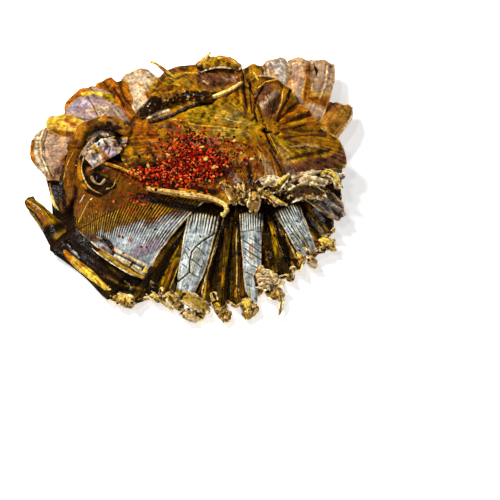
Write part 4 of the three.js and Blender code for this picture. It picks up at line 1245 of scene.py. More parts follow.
# %% The petals round the back and the sides
PETALS = [
    petal("pearl_petal", [-54, 12, 9], [-84, 21, 17], [-112, 23, 15], [30, 46, 48], arch=4, curl=3,
          body={"pearl": 0.85, "mauve": 0.2}, rim={"cream": 0.6}, seed=1, fold=0.5, root_dark=0.45,
          skin=thin_skin, marks=[
        ("mauve", [(50, 136), (56, 148), (54, 160)], 9, 0.4),
        ("amber", [(72, 136), (74, 150), (70, 168)], 6, 0.75),
        ("purple", [(52, 176), (60, 168), (66, 158)], 6, 0.75),
        ("cream", [(37, 122), (34, 138), (35, 154), (41, 170)], 3.5, 0.7),
        ("amber", [(31, 140), (30, 152), (34, 166)], 2, 0.8, 0.3),
        ("cream", [(43, 122), (38, 138), (40, 156), (48, 174)], 1, 0.9, 0.5),
        ("dark", [(46, 126), (42, 142), (44, 158), (51, 176)], 0.6, 0.6, -0.4),
        ("cream", [(42, 150), (46, 164), (53, 176)], 0.5, 0.8, 0.3),
    ]),
    petal("yellow_curl", [-56, 34, 12], [-80, 41, 20], [-101, 45, 18], [20, 19, 18], arch=5, curl=1,
          body={"yellow": 0.6, "amber": 0.3}, rim={"yellow": 0.8}, seed=2, root_dark=0.3, skin=thin_skin,
          marks=[
        ("yellow", [(46, 120), (52, 116), (62, 115)], 3, 0.9, 0.2),
        ("cream", [(47, 117), (56, 114)], 1.2, 0.7, 0.2),
        ("amber", [(52, 130), (62, 133), (74, 134)], 3.4, 0.85, -0.3),
        ("amber", [(64, 118), (72, 124)], 4, 0.7),
    ]),
    petal("mauve_panel", [-40, 34, 12], [-62, 55, 19], [-78, 76, 12], [40, 58, 50], arch=5, curl=2,
          body={"pearl": 0.7, "mauve": 0.5}, rim={"amber": 0.95}, seed=3, rim_wide=4.6, root_dark=0.25,
          skin=thin_skin, marks=[
        ("amber", [(58, 112), (64, 100), (74, 93), (86, 89)], 3.4, 1, 0.6),
        ("yellow", [(80, 92), (92, 90), (104, 94)], 2.2, 0.8, 0.5),
        ("mauve", [(70, 106), (76, 100), (88, 102)], 6, 1),
        ("silver", [(92, 106), (104, 108), (118, 112)], 4, 0.5),
        ("olive", [(104, 94), (114, 97), (126, 106)], 5, 0.9),
        ("cream", [(96, 110), (108, 104), (120, 102)], 0.6, 0.7, 0.3),
        ("cream", [(100, 114), (112, 104)], 0.5, 0.6, 0.3),
        ("amber", [(86, 96), (92, 106), (96, 114)], 0.7, 0.7, -0.3),
        ("dark", [(62, 112), (80, 117), (98, 119)], 2, 0.6),
    ]),
    petal("amber_panel", [-28, 44, 14], [-49, 67, 20], [-60, 85, 14], [20, 24, 20], arch=4, curl=2,
          body={"amber": 0.8}, rim={"yellow": 0.6}, seed=4, folds=2, fold=0.8, rim_wide=1.4, marks=[
        ("dark", [(112, 86), (118, 96), (122, 104)], 2, 0.7, -0.4),
    ]),
    petal("fibre_panel", [-16, 44, 14], [-29, 69, 21], [-39, 92, 14], [20, 28, 25], arch=4, curl=2,
          body={"pearl": 0.7, "cream": 0.45}, rim={"cream": 0.7}, seed=5, root_dark=0.3, skin=thin_skin,
          round_tip=0.5, marks=[
        ("amber", [(146, 92), (150, 100), (152, 108)], 4, 0.8),
        ("olive", [(150, 84), (154, 92)], 4, 0.7),
    ]),
    petal("small_amber_panel", [-6, 46, 14], [-17, 72, 22], [-23, 85, 17], [14, 16, 13], arch=3, curl=1,
          body={"olive": 0.5}, rim={"yellow": 0.7}, seed=6, folds=2, fold=0.6, rim_wide=1.2),
    petal("brown_back_petal", [44, 50, 14], [49, 78, 20], [48, 98, 13], [20, 24, 24], arch=3, curl=2,
          body={"olive": 0.5, "amber": 0.4}, rim={"yellow": 0.8}, seed=7, folds=2, fold=0.7, rim_wide=1.3),
    petal("silver_back_petal", [62, 48, 14], [67, 80, 20], [63, 102, 12], [14, 18, 21], arch=4, curl=3.5,
          body={"silver": 0.5, "pearl": 0.6}, rim={"amber": 0.5, "cream": 0.5}, seed=8, rim_wide=1.8,
          ragged=2.0, skin=thin_skin, round_tip=0.4, marks=[
        ("mauve", [(272, 66), (274, 80)], 4, 0.4),
        ("cream", [(268, 60), (270, 76)], 1.2, 0.6, 0.2),
    ]),
    petal("slot_petal", [70, 46, 14], [75, 78, 18], [74, 101, 10], [10, 11, 12], arch=2, curl=1,
          body={"dark": 0.8}, rim={"yellow": 0.6}, seed=9, fold=0.8, rim_wide=1.2, round_tip=0.4),
    petal("pink_back_petal", [76, 44, 14], [83, 75, 20], [84, 103, 12], [17, 21, 21], arch=4, curl=3.5,
          body={"pearl": 0.85}, rim={"amber": 0.6, "cream": 0.5}, seed=10, rim_wide=2.2, ragged=2.2,
          skin=thin_skin, round_tip=0.35, marks=[
        ("mauve", [(298, 66), (298, 80)], 4, 0.4),
        ("amber", [(309, 62), (309, 80), (306, 96)], 3.4, 0.85, 0.2),
        ("yellow", [(304, 64), (306, 80), (303, 94)], 1.2, 0.5, 0.3),
        ("amber", [(290, 70), (292, 86), (296, 98)], 1.6, 0.7, 0.2),
        ("cream", [(293, 60), (300, 58), (306, 61)], 1, 0.8, 0.3),
    ]),
    petal("amber_back_petal", [84, 38, 14], [94, 70, 19], [98, 102, 11], [18, 23, 25], arch=3, curl=3,
          body={"pearl": 0.8}, rim={"amber": 0.5, "cream": 0.5}, seed=11, rim_wide=2.0, ragged=2.2,
          skin=thin_skin, round_tip=0.35, marks=[
        ("amber", [(298, 100), (310, 96), (324, 98)], 8, 0.85),
        ("yellow", [(302, 96), (314, 92), (326, 92)], 3, 0.5, 0.2),
        ("amber", [(309, 64), (310, 78), (308, 92)], 4, 0.9, 0.2),
        ("yellow", [(313, 70), (313, 86)], 1.4, 0.7, 0.4),
        ("dark", [(312, 60), (317, 66), (316, 72)], 3.4, 1, -0.6),
        ("mauve", [(324, 74), (321, 90)], 4, 0.4),
        ("cream", [(329, 62), (327, 80), (321, 96)], 1, 0.7, 0.5),
    ]),
    petal("right_petal", [84, 20, 12], [104, 48, 16], [113, 68, 9], [20, 26, 24], arch=3, curl=1,
          body={"amber": 0.6, "yellow": 0.35, "olive": 0.3}, rim={"cream": 0.6, "amber": 0.5}, seed=12,
          fold=0.5, rim_wide=1.8, ragged=2.0, skin=thin_skin, round_tip=0.5, marks=[
        ("amber", [(324, 110), (336, 104)], 5, 0.7),
    ]),
    petal("right_front_petal", [80, -2, 15], [99, -18, 17], [114, -30, 11], [14, 17, 15], arch=2, curl=1,
          body={"silver": 0.5, "purple": 0.4}, rim={"cream": 0.7}, seed=13, folds=2, fold=0.9,
          rim_wide=1.3, root_dark=0.3, crumple=1.4, crumple_size=5, marks=[
        ("dark", [(312, 212), (326, 216)], 4, 0.7, -0.4),
    ]),
]
for shape in PETALS:
    lay_petal(shape)
print(len(PETALS), "petals")

# %% [markdown]
# The strips are drawn from the photograph crack by crack: they catch the light, and they are
# what the eye goes to first. The comb is real ridges, about five to the centimetre.

# %% The three pale strips
STRIPS = [
    petal("left_strip", [15.5, -19, 22], [9.5, -53, 15.5], [-0.5, -92, 5], [20, 21, 17], arch=2.5,
          body={"silver": 0.85}, rim={"cream": 0.9}, seed=14, fold=0.5, rim_wide=1.0, marks=[
        ("mauve", [(198, 254), (192, 274)], 6, 0.28),
        ("silver", [(206, 246), (204, 262)], 4, 1),
        ("olive", [(178, 292), (186, 298)], 5, 0.8, 0.3),
        ("yellow", [(174, 299), (184, 302)], 2, 0.8, 0.4),
        ("dark", [(213, 235), (203, 241), (196, 247), (192, 252),
                  (190, 262), (190, 272), (179, 281)], 0.75, 1.0, -0.7),
        *cracks(0.5, 1, 0.4, [(196, 246), (201, 250), (206, 255)],
                [(192, 259), (197, 263), (202, 267)]),
        *cracks(0.5, 1, 0.3, [(187, 247), (190, 250)], [(186, 252), (189, 257)]),
        *cracks(0.45, 0.9, 0.3, [(204, 239), (209, 244)], [(203, 258), (206, 266)],
                [(190, 272), (198, 277)], [(183, 264), (188, 268)]),
    ]),
    petal("middle_strip", [47, -17, 22], [48, -54, 15.5], [48.5, -97, 5], [17, 14.5, 10], arch=2.5,
          body={"silver": 1.0}, rim={"cream": 0.8}, seed=15, fold=0.5, rim_wide=1.0, marks=[
        ("silver", [(256, 236), (256, 262)], 5, 1),
        ("pearl", [(251, 246), (252, 258)], 2.5, 0.6),
        ("mauve", [(249, 268), (250, 290)], 4, 0.3),
        *cracks(0.4, 0.9, 0.2, [(240, 232), (252, 231), (262, 232)]),
        *cracks(0.5, 1, 0.4, [(243, 240), (252, 246), (262, 253)],
                [(244, 248), (252, 254), (262, 260)], [(246, 260), (251, 265), (257, 268)]),
        *cracks(0.45, 0.9, 0.3, [(250, 238), (262, 246)], [(245, 254), (250, 258)]),
        *cracks(0.5, 1, 0.3, [(246, 272), (253, 275)]),
        *cracks(0.45, 0.8, 0.3, [(247, 284), (252, 286)]),
    ]),
    petal("right_strip", [68, -14, 22], [80.5, -42, 15.5], [91, -62, 7], [16, 16, 13], arch=2.5,
          body={"silver": 0.95}, rim={"cream": 0.8}, seed=16, fold=0.5, rim_wide=1.0, marks=[
        ("mauve", [(294, 234), (302, 246)], 5, 0.3),
        ("cream", [(303, 248), (310, 252)], 2.5, 0.8, 0.2),
        *cracks(0.4, 0.9, 0.2, [(283, 223), (292, 221), (301, 222)]),
        *cracks(0.5, 1, 0.4, [(287, 226), (294, 235), (300, 243)],
                [(291, 226), (298, 236), (305, 246)], [(296, 226), (303, 236), (309, 246)]),
        *cracks(0.45, 0.9, 0.3, [(300, 226), (306, 234)], [(294, 244), (301, 249)]),
        *cracks(0.5, 1, 0.3, [(290, 236), (296, 244)]),
        ("olive", [(302, 238), (307, 247)], 2, 0.5),
    ]),
]
COMB_RIDGES = {"left_strip": 10, "middle_strip": 9, "right_strip": 9}


print("ridges:", sum(COMB_RIDGES.values()))

# %% Lay the strips
STRIP_GRID = (0.4, 0.6)  # mm across and along


def strip_dress(shape):
    """A petal's dress with the comb of ridges at its top, and its marks once more over the comb."""
    plain = petal_dress(shape)

    def dress(spot):
        relief, masks = plain(spot)
        teeth = spot.u * COMB_RIDGES[shape.name] + 0.15 * cloud(spot.x, spot.y, 8, shape.seed)
        comb = np.cos(2 * math.pi * teeth)
        length = 0.46 + 0.07 * cloud(spot.u * 9, 0 * spot.u, 1, shape.seed)
        reach = smooth(length, length - 0.2, spot.v)
        relief = relief + 0.5 * comb * reach + 0.3 * rough(spot.x, spot.y, 2.6, shape.seed + 8)
        masks["dark"] = np.maximum(masks["dark"] * 0.5, 0.85 * smooth(0.25, -0.7, comb) * reach)
        # painted shade at the strip's root, under the crown's edge
        masks["dark"] = np.maximum(masks["dark"], smooth(0.26, 0.17, spot.v))
        masks["cream"] = np.maximum(masks.get("cream", 0), 0.5 * smooth(0.5, 1, comb) * reach)
        masks["yellow"] = 0.5 * reach * smooth(0.35, 0.2, spot.v)
        relief += stroke_marks(spot, shape.marks, masks)
        return relief, masks

    return dress


for shape in STRIPS:
    length, width = petal_length(shape), max(shape.wide)
    grid = (int(width / STRIP_GRID[0]), int(length / STRIP_GRID[1]))
    lay_skin(shape.name, petal_form(shape), grid, (width, length), strip_dress(shape), strip_skin)
print(len(STRIPS), "pale strips")

# %% [markdown]
# ## The eye, the tongue and the rolled folds
# The eye is gone. Its skin has dried to a crumpled grey flap over a hole painted black as its shade, with a
# glossy brown brow rolled over it. The rest of the rolls and rods follow the same recipe.

# %% The eye's skin, the tongue and the right curl
SMALL_SHEETS = [
    petal("eye_skin", [-74, 9, 20], [-59, 19, 28], [-44, 26, 27], [12, 21, 14], arch=3,
          body={"silver": 0.45, "mauve": 0.45, "purple": 0.2}, rim={"cream": 0.5}, seed=21, folds=2,
          fold=0.9, rim_wide=1.4, root_dark=0.1, crumple=2.2, crumple_size=6, ragged=2.5, skin=thin_skin,
          marks=[
        ("olive", [(98, 130), (106, 130)], 3, 0.8),
        ("mauve", [(104, 148), (112, 152)], 6, 1),
        ("silver", [(97, 144), (103, 140)], 3.5, 1, 0.2),
        ("silver", [(112, 160), (120, 154)], 3.5, 1, 0.2),
        ("cream", [(90, 152), (95, 150)], 3, 0.8, 0.3),
        # the brow's painted shadow, in these two
        ("dark", [(110, 130), (115, 134), (119, 140)], 3.6, 1, -1.5),
        ("dark", [(94, 140), (99, 136), (106, 137)], 2.2, 0.95, -1),
        ("purple", [(100, 150), (106, 158), (114, 162)], 3, 0.7),
        ("olive", [(92, 146), (98, 150)], 2.4, 0.7, 0.2),
        ("dark", [(104, 142), (110, 146), (108, 154)], 0.8, 0.9, -0.8),
        ("dark", [(120, 142), (124, 150), (120, 158)], 1.8, 0.9, -0.8),
    ]),
    petal("tongue", [-84, -50, 5], [-100.5, -29.5, 8], [-114, -15, 13], [24, 13.5, 12], arch=3,
          body={"olive": 0.6}, rim={"yellow": 0.4}, seed=22, fold=0.8, rim_wide=1.0, marks=[
        ("cream", [(31, 195), (41, 202), (52, 213)], 0.6, 0.8, 0.4),
        ("dark", [(33, 201), (42, 208), (52, 219)], 1, 0.8, -0.4),
        ("amber", [(27, 202), (36, 209), (44, 218)], 2.6, 0.8),
        ("yellow", [(27, 201), (36, 206), (40, 210)], 0.9, 0.8, 0.3),
        ("dark", [(27, 208), (35, 214), (41, 224)], 1.6, 0.8, -0.4),
        ("amber", [(42, 216), (48, 228)], 4, 0.6),
        ("dark", [(44, 232), (54, 228), (62, 224)], 8, 0.8),
        ("dark", [(48, 240), (58, 246), (70, 252)], 9, 0.9),
    ]),
    petal("right_curl", [72, -4, 25], [92, -2, 23], [114, 2, 19], [7, 13, 10], arch=3,
          body={"silver": 0.6, "olive": 0.3}, rim={"cream": 0.7}, seed=23, folds=2, fold=0.8,
          rim_wide=1.2, root_dark=0.1, crumple=1.6, crumple_size=4.5, ragged=2.0, skin=thin_skin, marks=[
        ("dark", [(296, 186), (310, 180), (322, 178)], 2, 0.7, -0.6),
    ]),
]
for shape in SMALL_SHEETS:
    lay_petal(shape, 0.55)
print(len(SMALL_SHEETS), "small sheets")

# %% [markdown]
# Where the crown and the rim are torn, small flaps of skin have dried curled and ragged, cream at
# their edges. They are petals too, only small ones, each laid where the photograph shows it.

# %% Small torn flaps


def flap(name, root, crest, tip, wide, body, rim, seed, **more):
    """A small torn flap: its spine is given in photo pixels, each with a height in mm."""
    spine = [from_photo(*point) for point in (root, crest, tip)]
    settings = dict(arch=1.5, folds=1, fold=0.6, rim_wide=0.9, root_dark=0.14, crumple=1.2,
                    crumple_size=4, ragged=2.4, skin=cartilage)
    return petal(name, *spine, wide, body=body, rim=rim, seed=seed, **{**settings, **more})


AMBER = {"amber": 0.5, "olive": 0.4, "dark": 0.1}
PALE = {"silver": 0.35, "cream": 0.6, "yellow": 0.3}
GOLD = {"yellow": 0.5, "olive": 0.4}
CREAM_RIM = {"cream": 1.0}
FLAPS = [
    flap("hook_left", (222, 184, 32.5), (230, 194, 32), (236, 205, 26), [4, 5, 3], AMBER, CREAM_RIM, 101),
    flap("hook_right", (240, 183, 32), (242, 194, 31), (243, 205, 25), [4, 4.5, 3], GOLD, CREAM_RIM, 102),
    flap("torn_cup", (254, 190, 31), (254, 202, 30), (252, 213, 22), [5, 9, 7], AMBER, CREAM_RIM, 103,
         arch=3),
    flap("white_crumple", (258, 186, 31), (269, 181, 32), (281, 187, 30), [7, 9, 7], PALE, CREAM_RIM, 104,
         crumple=1.8, skin=thin_skin),
    flap("small_curl", (276, 191, 30), (282, 182, 32), (289, 176, 31), [4, 6, 4], GOLD, CREAM_RIM, 105),
    flap("low_hook", (261, 195, 29), (272, 199, 28), (286, 206, 24), [3, 4, 2.5], GOLD, CREAM_RIM, 106),
    flap("golden_lump", (288, 199, 27), (306, 191, 29.5), (324, 197, 25), [9, 13, 9],
         {"olive": 0.4, "amber": 0.3, "dark": 0.7}, CREAM_RIM, 107, arch=3, crumple=1.8, rim_wide=1.6),
    flap("pale_lump", (296, 186, 28), (310, 180, 30), (326, 184, 27), [6, 9, 6], PALE, CREAM_RIM, 108,
         crumple=1.6, skin=thin_skin),
    flap("yellow_crescent", (316, 177, 28), (330, 174, 29), (339, 189, 24), [4, 5, 4], GOLD, CREAM_RIM,
         109),
    flap("rim_curl", (166, 291, 7), (174, 299, 7.5), (183, 310, 4), [7, 9, 6], GOLD, CREAM_RIM, 110),
    flap("rim_band", (182, 296, 8), (196, 301, 9.5), (210, 313, 5), [8, 11, 8],
         {"olive": 0.6, "dark": 0.4}, CREAM_RIM, 111, arch=3, rim_wide=1.6),
    flap("rim_white", (184, 311, 4.5), (190, 315, 6), (197, 320, 4), [6, 8, 6], PALE, CREAM_RIM, 112,
         skin=thin_skin),
    flap("rim_triangle", (218, 300, 6.5), (222, 310, 6), (226, 320.5, 3), [10, 10, 5], {"olive": 0.7},
         CREAM_RIM, 113),
    flap("rim_flap", (243, 295, 8), (247, 308, 7), (249, 320, 3), [7, 9, 8], GOLD, CREAM_RIM, 114),
    flap("star_flap", (254, 282, 11), (267, 280, 13), (279, 287, 9), [10, 17, 10],
         {"cream": 0.5, "amber": 0.4, "dark": 0.2}, CREAM_RIM, 115, crumple=2.2, ragged=4.5, rim_wide=1.8),
    flap("thin_hook", (276, 284, 8), (281, 300, 6), (278, 316, 3), [2.5, 3, 1.8], AMBER, CREAM_RIM, 116),
    flap("strip_hook", (295, 250, 9), (300, 258, 8.5), (303, 266, 6), [6, 6, 4], GOLD, CREAM_RIM, 117),
    flap("white_tab", (304, 256, 8.5), (311, 261, 9), (317, 268, 6), [6, 8, 6], PALE, CREAM_RIM, 118,
         skin=thin_skin),
    flap("yellow_tab", (317, 238, 9), (327, 243, 9.5), (334, 251, 6), [7, 9, 6], GOLD, CREAM_RIM, 119),
    flap("left_crumple", (116, 298, 6), (125, 300, 7), (134, 306, 3), [6, 8, 6], GOLD, CREAM_RIM, 120),
    flap("back_crumple", (197, 67, 34), (219, 59, 38), (242, 66, 34), [7, 11, 7],
         {"olive": 0.6, "dark": 0.4}, {"cream": 0.8}, 121, arch=2, crumple=2.2, rim_wide=1.4,
         skin=ray_skin),
    flap("back_spike", (205, 62, 36), (206, 57, 38), (209, 51, 39), [4, 3.4, 1.2], GOLD, CREAM_RIM, 122),
    flap("left_fold", (77, 136, 21), (71, 166, 20), (65, 208, 12), [8, 15, 8], {"amber": 0.35},
         {"dark": 0.6}, 129, crumple=0.6, ragged=1.2, rim_wide=1.4, skin=wing_skin, marks=[
             ("dark", [(58, 178), (61, 196), (66, 214)], 5, 0.85),
             ("dark", [(66, 152), (64, 160), (62, 168)], 1.2, 0.8, -0.3),
             ("yellow", [(73, 150), (66, 166), (62, 182)], 0.5, 0.6, 0.3),
             ("cream", [(57, 184), (55, 194), (58, 204)], 0.7, 0.7, 0.3),
         ]),
    flap("wing_hem", (94, 247, 12.5), (121, 264.5, 11), (149, 279, 7), [3, 6, 4],
         {"olive": 0.7, "dark": 0.3}, CREAM_RIM, 124, crumple=0.6, ragged=1.0),
    flap("wing_tip", (143, 268, 9), (148, 273, 9), (150, 282, 5), [5, 5, 2], GOLD, CREAM_RIM, 125),
    flap("rim_frill", (150, 292, 7), (158, 298, 7), (168, 302, 4), [5, 6, 5], GOLD, CREAM_RIM, 126),
    flap("rim_frill_2", (268, 290, 9), (274, 296, 8), (284, 294, 5), [5, 6, 4], {"olive": 0.7}, CREAM_RIM,
         127),
    flap("lobe_edge", (288, 181, 29), (304, 175, 31), (322, 171, 30), [3, 4, 3], PALE, CREAM_RIM, 128,
         skin=thin_skin),
    flap("roll_flap", (150, 104, 33), (165, 92, 37), (184, 88, 38), [8, 11, 8],
         {"amber": 0.35, "dark": 0.4}, {"dark": 0.5}, 123, crumple=2.0, skin=ray_skin),
]
for shape in FLAPS:
    lay_petal(shape, 0.5, thick=0.9)
print(len(FLAPS), "torn flaps")

# %% How rods and rolls are dressed


def bone(spot, seed=0):
    """Cream rods, worn knobbly, with amber stains."""
    stains = cloud(spot.x + spot.z, spot.y, 5, seed + 2)
    relief = 0.3 * rough(spot.x + spot.z, spot.y, 3, seed)
    return relief, {"amber": 0.5 * smooth(0.2, 0.7, stains), "dark": 0.6 * smooth(-0.45, -0.9, stains)}


def torn_bone(spot):
    """Torn skin rolled up on itself: sharp plies along the roll, with painted shade between them and on its
    low lumps.
    """
    along = spot.x + spot.z
    lumps = rough(along, spot.y, 3.4, 6)
    turn = 2 * math.pi * spot.u
    plies = wrinkle(3 * np.cos(turn) + 3 * spot.v, 3 * np.sin(turn) + along / 9, 2.2, 7)
    relief = 0.7 * lumps + 1.3 * (plies - 0.5) + 0.4 * rough(along, spot.y - spot.z, 1.3, 16)
    stains = rough(spot.x, spot.y, 6, 26)
    return relief, {
        "amber": smooth(0.0, 0.5, stains),
        "dark": 0.8 * smooth(0.0, -0.5, lumps) + 0.9 * smooth(0.4, 0.1, plies),
        "cream": 0.75 * smooth(0.6, 0.95, plies),
        "yellow": 0.35 * smooth(0.4, 0.8, plies),
        "olive": 0.6 * smooth(0.1, -0.5, stains),
    }


def brown_roll(spot):
    """A rolled fold of skin, brown and glossy, with painted shade in its wrinkles and low creases."""
    crease = rough(spot.x, spot.y + spot.z, 7, 3)
    lines = wrinkle(spot.x, spot.y + spot.z, 5, 23)
    relief = 0.8 * crease + 0.35 * lines
    dark = 0.15 + 0.6 * smooth(0.0, -0.5, crease) + 0.45 * smooth(0.35, 0.0, lines)
    return relief, {"dark": dark, "amber": 0.3, "purple": 0.3}


def black_roll(spot):
    crease = rough(spot.x, spot.y + spot.z, 5, 13)
    lines = wrinkle(spot.x, spot.y + spot.z, 4, 33)
    relief = 1.3 * crease + 0.7 * lines
    # near black of its own, painted darker in the creases as shade and lighter on the wrinkles' crests as
    # highlight
    dark = 0.78 + 0.4 * smooth(0.3, -0.2, crease) - 0.4 * smooth(0.7, 1.0, lines)
    return relief, {"dark": dark, "purple": 0.4}


def twig(spot):
    """Rods of dry skin: amber and yellow in patches."""
    relief, masks = bone(spot, 4)
    stain = cloud(spot.x, spot.y, 6, 8)
    return relief, {**masks, "amber": 0.55 + 0.4 * stain, "yellow": 0.45 - 0.4 * stain}


def lip_roll(spot):
    return 0.6 * rough(spot.x, spot.y, 2.5, 5), {"olive": 0.5, "cream": 0.45, "dark": 0.45}


print("dresses:", [dress.__name__ for dress in (bone, torn_bone, brown_roll, black_roll, twig, lip_roll)])

# %% Rods of cartilage
RODS = [  # path and thickness, in mm
    ([[-27, -18, 31.5], [-10, -21, 32.5], [16, -25, 32], [27, -29, 31], [31, -33, 29]], 3.8),
    ([[31, -32, 30], [29, -35, 27.5], [26.5, -36, 25]], 3.6),
    ([[-90, -50, 5], [-79, -63, 6], [-66, -75, 6.5], [-55, -86, 6], [-48, -95, 3.6]], 5.4),
    ([[10, 56, 34], [24, 59, 36.5], [33, 63, 38], [42, 70, 38]], 3.2),
    ([[-62, 10, 24], [-50, 4, 27], [-42, 0, 27.5], [-32, -6, 28]], 2.4),
    ([[-7, 76, 32], [-19, 84, 36], [-23, 86, 38], [-26, 87, 38]], 2.2),
    ([[10, 83, 34], [13, 88, 37], [17, 92, 39]], 4),
    ([[8, 85, 35], [22, 89, 37.5], [32, 88, 37.5], [41, 83, 34]], 4.4),
    ([[96, -2, 23], [104, -4, 25], [109, -7, 25], [109, -11, 20]], 4.4),
]
TWIGS = (2, 4, 5, 6, 7)  # which of them are dry skin, not cartilage
rods = [
    wind_rod(f"rod_{k}", path, thick, twig if k in TWIGS else bone, seed=k)
    for k, (path, thick) in enumerate(RODS)
]

# %% Torn stumps
STUMPS = [  # path and thickness, in mm
    ([[26, -12, 32.5], [33, -20, 31], [36, -28, 26]], 4),
    ([[38, -16, 32], [41, -22, 30], [43, -28, 26.5]], 4.4),
    ([[46, -20, 29.5], [50, -27, 27], [50, -34, 23]], 5),
    ([[53, -15, 29], [60, -22, 27.5], [66, -28, 24.5]], 4.6),
    ([[63, -14, 28.5], [68, -10, 30], [72, -16, 27]], 5),
    ([[70, -10, 26], [81, -13, 23], [92, -16, 22], [98, -15, 19]], 7),
    ([[-16, -84, 6], [-14, -94, 5], [-8, -101, 3.4]], 5),
    ([[0, -86, 6], [8, -102, 4], [14, -108, 3.2]], 5.6),
    ([[20, -88, 6], [26, -105, 3.6], [34, -104, 4.6]], 5),
    ([[46, -88, 7], [47, -103, 3.6], [52, -98, 6]], 5),
    ([[52, -72, 11], [60, -80, 10], [64, -90, 4]], 8),
    ([[82, -60, 7.6], [77, -70, 5], [75, -78, 3.4]], 4),
    ([[92, -58, 8], [100, -52, 8.6], [108, -46, 8]], 5.6),
    ([[-30, -74, 6], [-25, -79, 5], [-22, -83, 3]], 4),
    ([[-56, -84, 5], [-46, -90, 4.4], [-36, -95, 3.6]], 6),
]


stumps = [
    wind_rod(f"stump_{k}", path, thick, torn_bone, (26, 56), lump=0.35, seed=40 + k, flatten=0.75)
    for k, (path, thick) in enumerate(STUMPS)
]
join("cartilage_rods", rods, cartilage)
join("torn_cartilage", stumps, cartilage)

# %% Rolled folds
ROLLS = [  # path, thickness and dress
    ([[-80, 22, 20], [-75, 35, 26], [-61, 41, 28], [-48, 38, 28], [-40, 30, 26]], 9, brown_roll),
    ([[-33, 44, 27], [-24, 53, 31], [-11, 59, 34], [4, 60, 35], [20, 57, 34.5]], 9, black_roll),
    ([[-29, -15, 27], [-10, -18, 28.5], [14, -22, 28], [28, -28, 27]], 6.4, brown_roll),
    ([[-76, 16, 21], [-76, 3, 19], [-72, -9, 17], [-61, -16, 16], [-50, -9, 19], [-45, 6, 24]], 3,
     brown_roll),
]
LIP = [[-69, 4, 17], [-66, -3, 17.5], [-61, -5, 17.5], [-56, 1, 17.5]]
rolls = [
    wind_rod(f"roll_{k}", path, thick, dress, (28, 90), lump=0.2, seed=70 + k)
    for k, (path, thick, dress) in enumerate(ROLLS)
]
rolls.append(wind_rod("lip", LIP, 2.4, lip_roll))
join("rolled_folds", rolls, ray_skin)

# %% [markdown]
# The fan's front rim is torn all along: a thin cream lip follows every pleat, thick in one place
# and gone in the next. Its path is the fan's own rim, moved a little at random.

# %% The torn lip along the front rim
LIP_STEPS = 190
LIP_THICK = 1.9  # mm
LIP_STRAYS, LIP_UP = 1.1, 0.8  # mm


def torn_lip(first, last):
    """The path of the lip from one fold of the fan to another."""
    u = np.linspace(first, last, LIP_STEPS) / GAPS
    path = fan_form(u, np.ones(LIP_STEPS))
    near = np.cumsum(np.linalg.norm(np.diff(path, axis=0, prepend=path[:1]), axis=1))
    for axis in range(3):
        path[:, axis] += LIP_STRAYS * rough(near, 0 * near, 7, 50 + axis)
    path[:, 2] += LIP_UP
    return path


lip = wind_rod("torn_lip", torn_lip(0.2, 10.8), LIP_THICK, torn_bone, (12, 620), taper=60, lump=0.5,
               seed=9)
join("torn_lip", [lip], cartilage)

# %% [markdown]
# ## What lies on the skin
# Threads and chilli are placed where a line from the photograph's eye meets the skin, so that
# each lies on something. All the sheets so far go into one tree of faces, which is quick to hit.

# %% Hit the skin with a line


def skin_tree():
    """All the skin so far, to be hit by a line."""
    points, faces = [], []
    for piece in bpy.data.objects:
        if piece.type == "MESH" and "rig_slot" in piece:
            base = len(points)
            points += [tuple(p) for p in read(piece.data.vertices, "co", 3)]
            loops = np.zeros(len(piece.data.loops), int)
            piece.data.loops.foreach_get("vertex_index", loops)
            starts = np.zeros(len(piece.data.polygons), int)
            totals = np.zeros(len(piece.data.polygons), int)
            piece.data.polygons.foreach_get("loop_start", starts)
            piece.data.polygons.foreach_get("loop_total", totals)
            faces += [tuple(loops[s:s + t] + base) for s, t in zip(starts, totals)]
    return BVHTree.FromPolygons(points, faces)


tree_of_skin = skin_tree()
SIGHT = Vector((0, math.cos(LOOK_DOWN), -math.sin(LOOK_DOWN)))
START_BACK = 0.3  # m, where a line of sight starts, well above the ray
AIM_UP = 20.0  # mm, the height that it is aimed at


def hit_skin(px, py):
    """The point of the skin that is seen at a pixel, with its normal."""
    aim = Vector(((np.array(from_photo(px, py, AIM_UP)) - MIDDLE) * MM).tolist())
    place, normal, _, _ = tree_of_skin.ray_cast(aim - SIGHT * START_BACK, SIGHT)
    return place, normal


def on_skin(path, lift):
    """The layout points of the skin that are seen at some pixels, raised a little."""
    places = [hit_skin(px, py)[0] for px, py in path]
    return [[*(np.array(place) / MM + MIDDLE + [0, 0, lift])] for place in places]


print("the skin seen at the layout's origin:", hit_skin(*ORIGIN_PIXEL)[0])

# %% Pale threads
THREAD_UP = 0.5  # mm, how far a thread's middle lies above the skin
# The threads along the fan's ridges, the third, fourth, fifth and last, stand partly for painted highlight on
# those ridges.
THREADS = [  # path in pixels, thickness in mm
    ([(83, 157), (81, 166), (82, 174), (87, 185), (94, 191), (101, 194)], 1.0),
    ([(106, 190), (113, 187), (116, 180)], 0.9),
    ([(224, 218), (217, 240), (211, 262), (203, 290)], 0.8),
    ([(237, 228), (236.5, 245), (237, 262), (237, 286)], 0.8),
    ([(285, 234), (291, 248), (296, 258)], 0.8),
    ([(252, 68), (255, 71), (258, 76)], 1.0),
    ([(48, 182), (50, 192), (53, 204), (58, 211)], 1.7),
    ([(191, 220), (180, 235), (168, 250), (159, 264)], 0.7),
]
threads = [
    wind_rod(f"thread_{k}", on_skin(path, THREAD_UP), thick, bone, (8, 70), lump=0.3, seed=90 + k)
    for k, (path, thick) in enumerate(THREADS)
]
join("pale_threads", threads, cartilage)

# %% [markdown]
# ## Chilli
# Crushed dried chilli: thin chips of pod wall, red to orange, and a few flat pale seeds. One chip
# is an icosphere pressed flat, its corners moved at random. In the heap the chips are piled up to
# 2 mm deep. A particle system would spread chips over all of a skin, and these have their places.

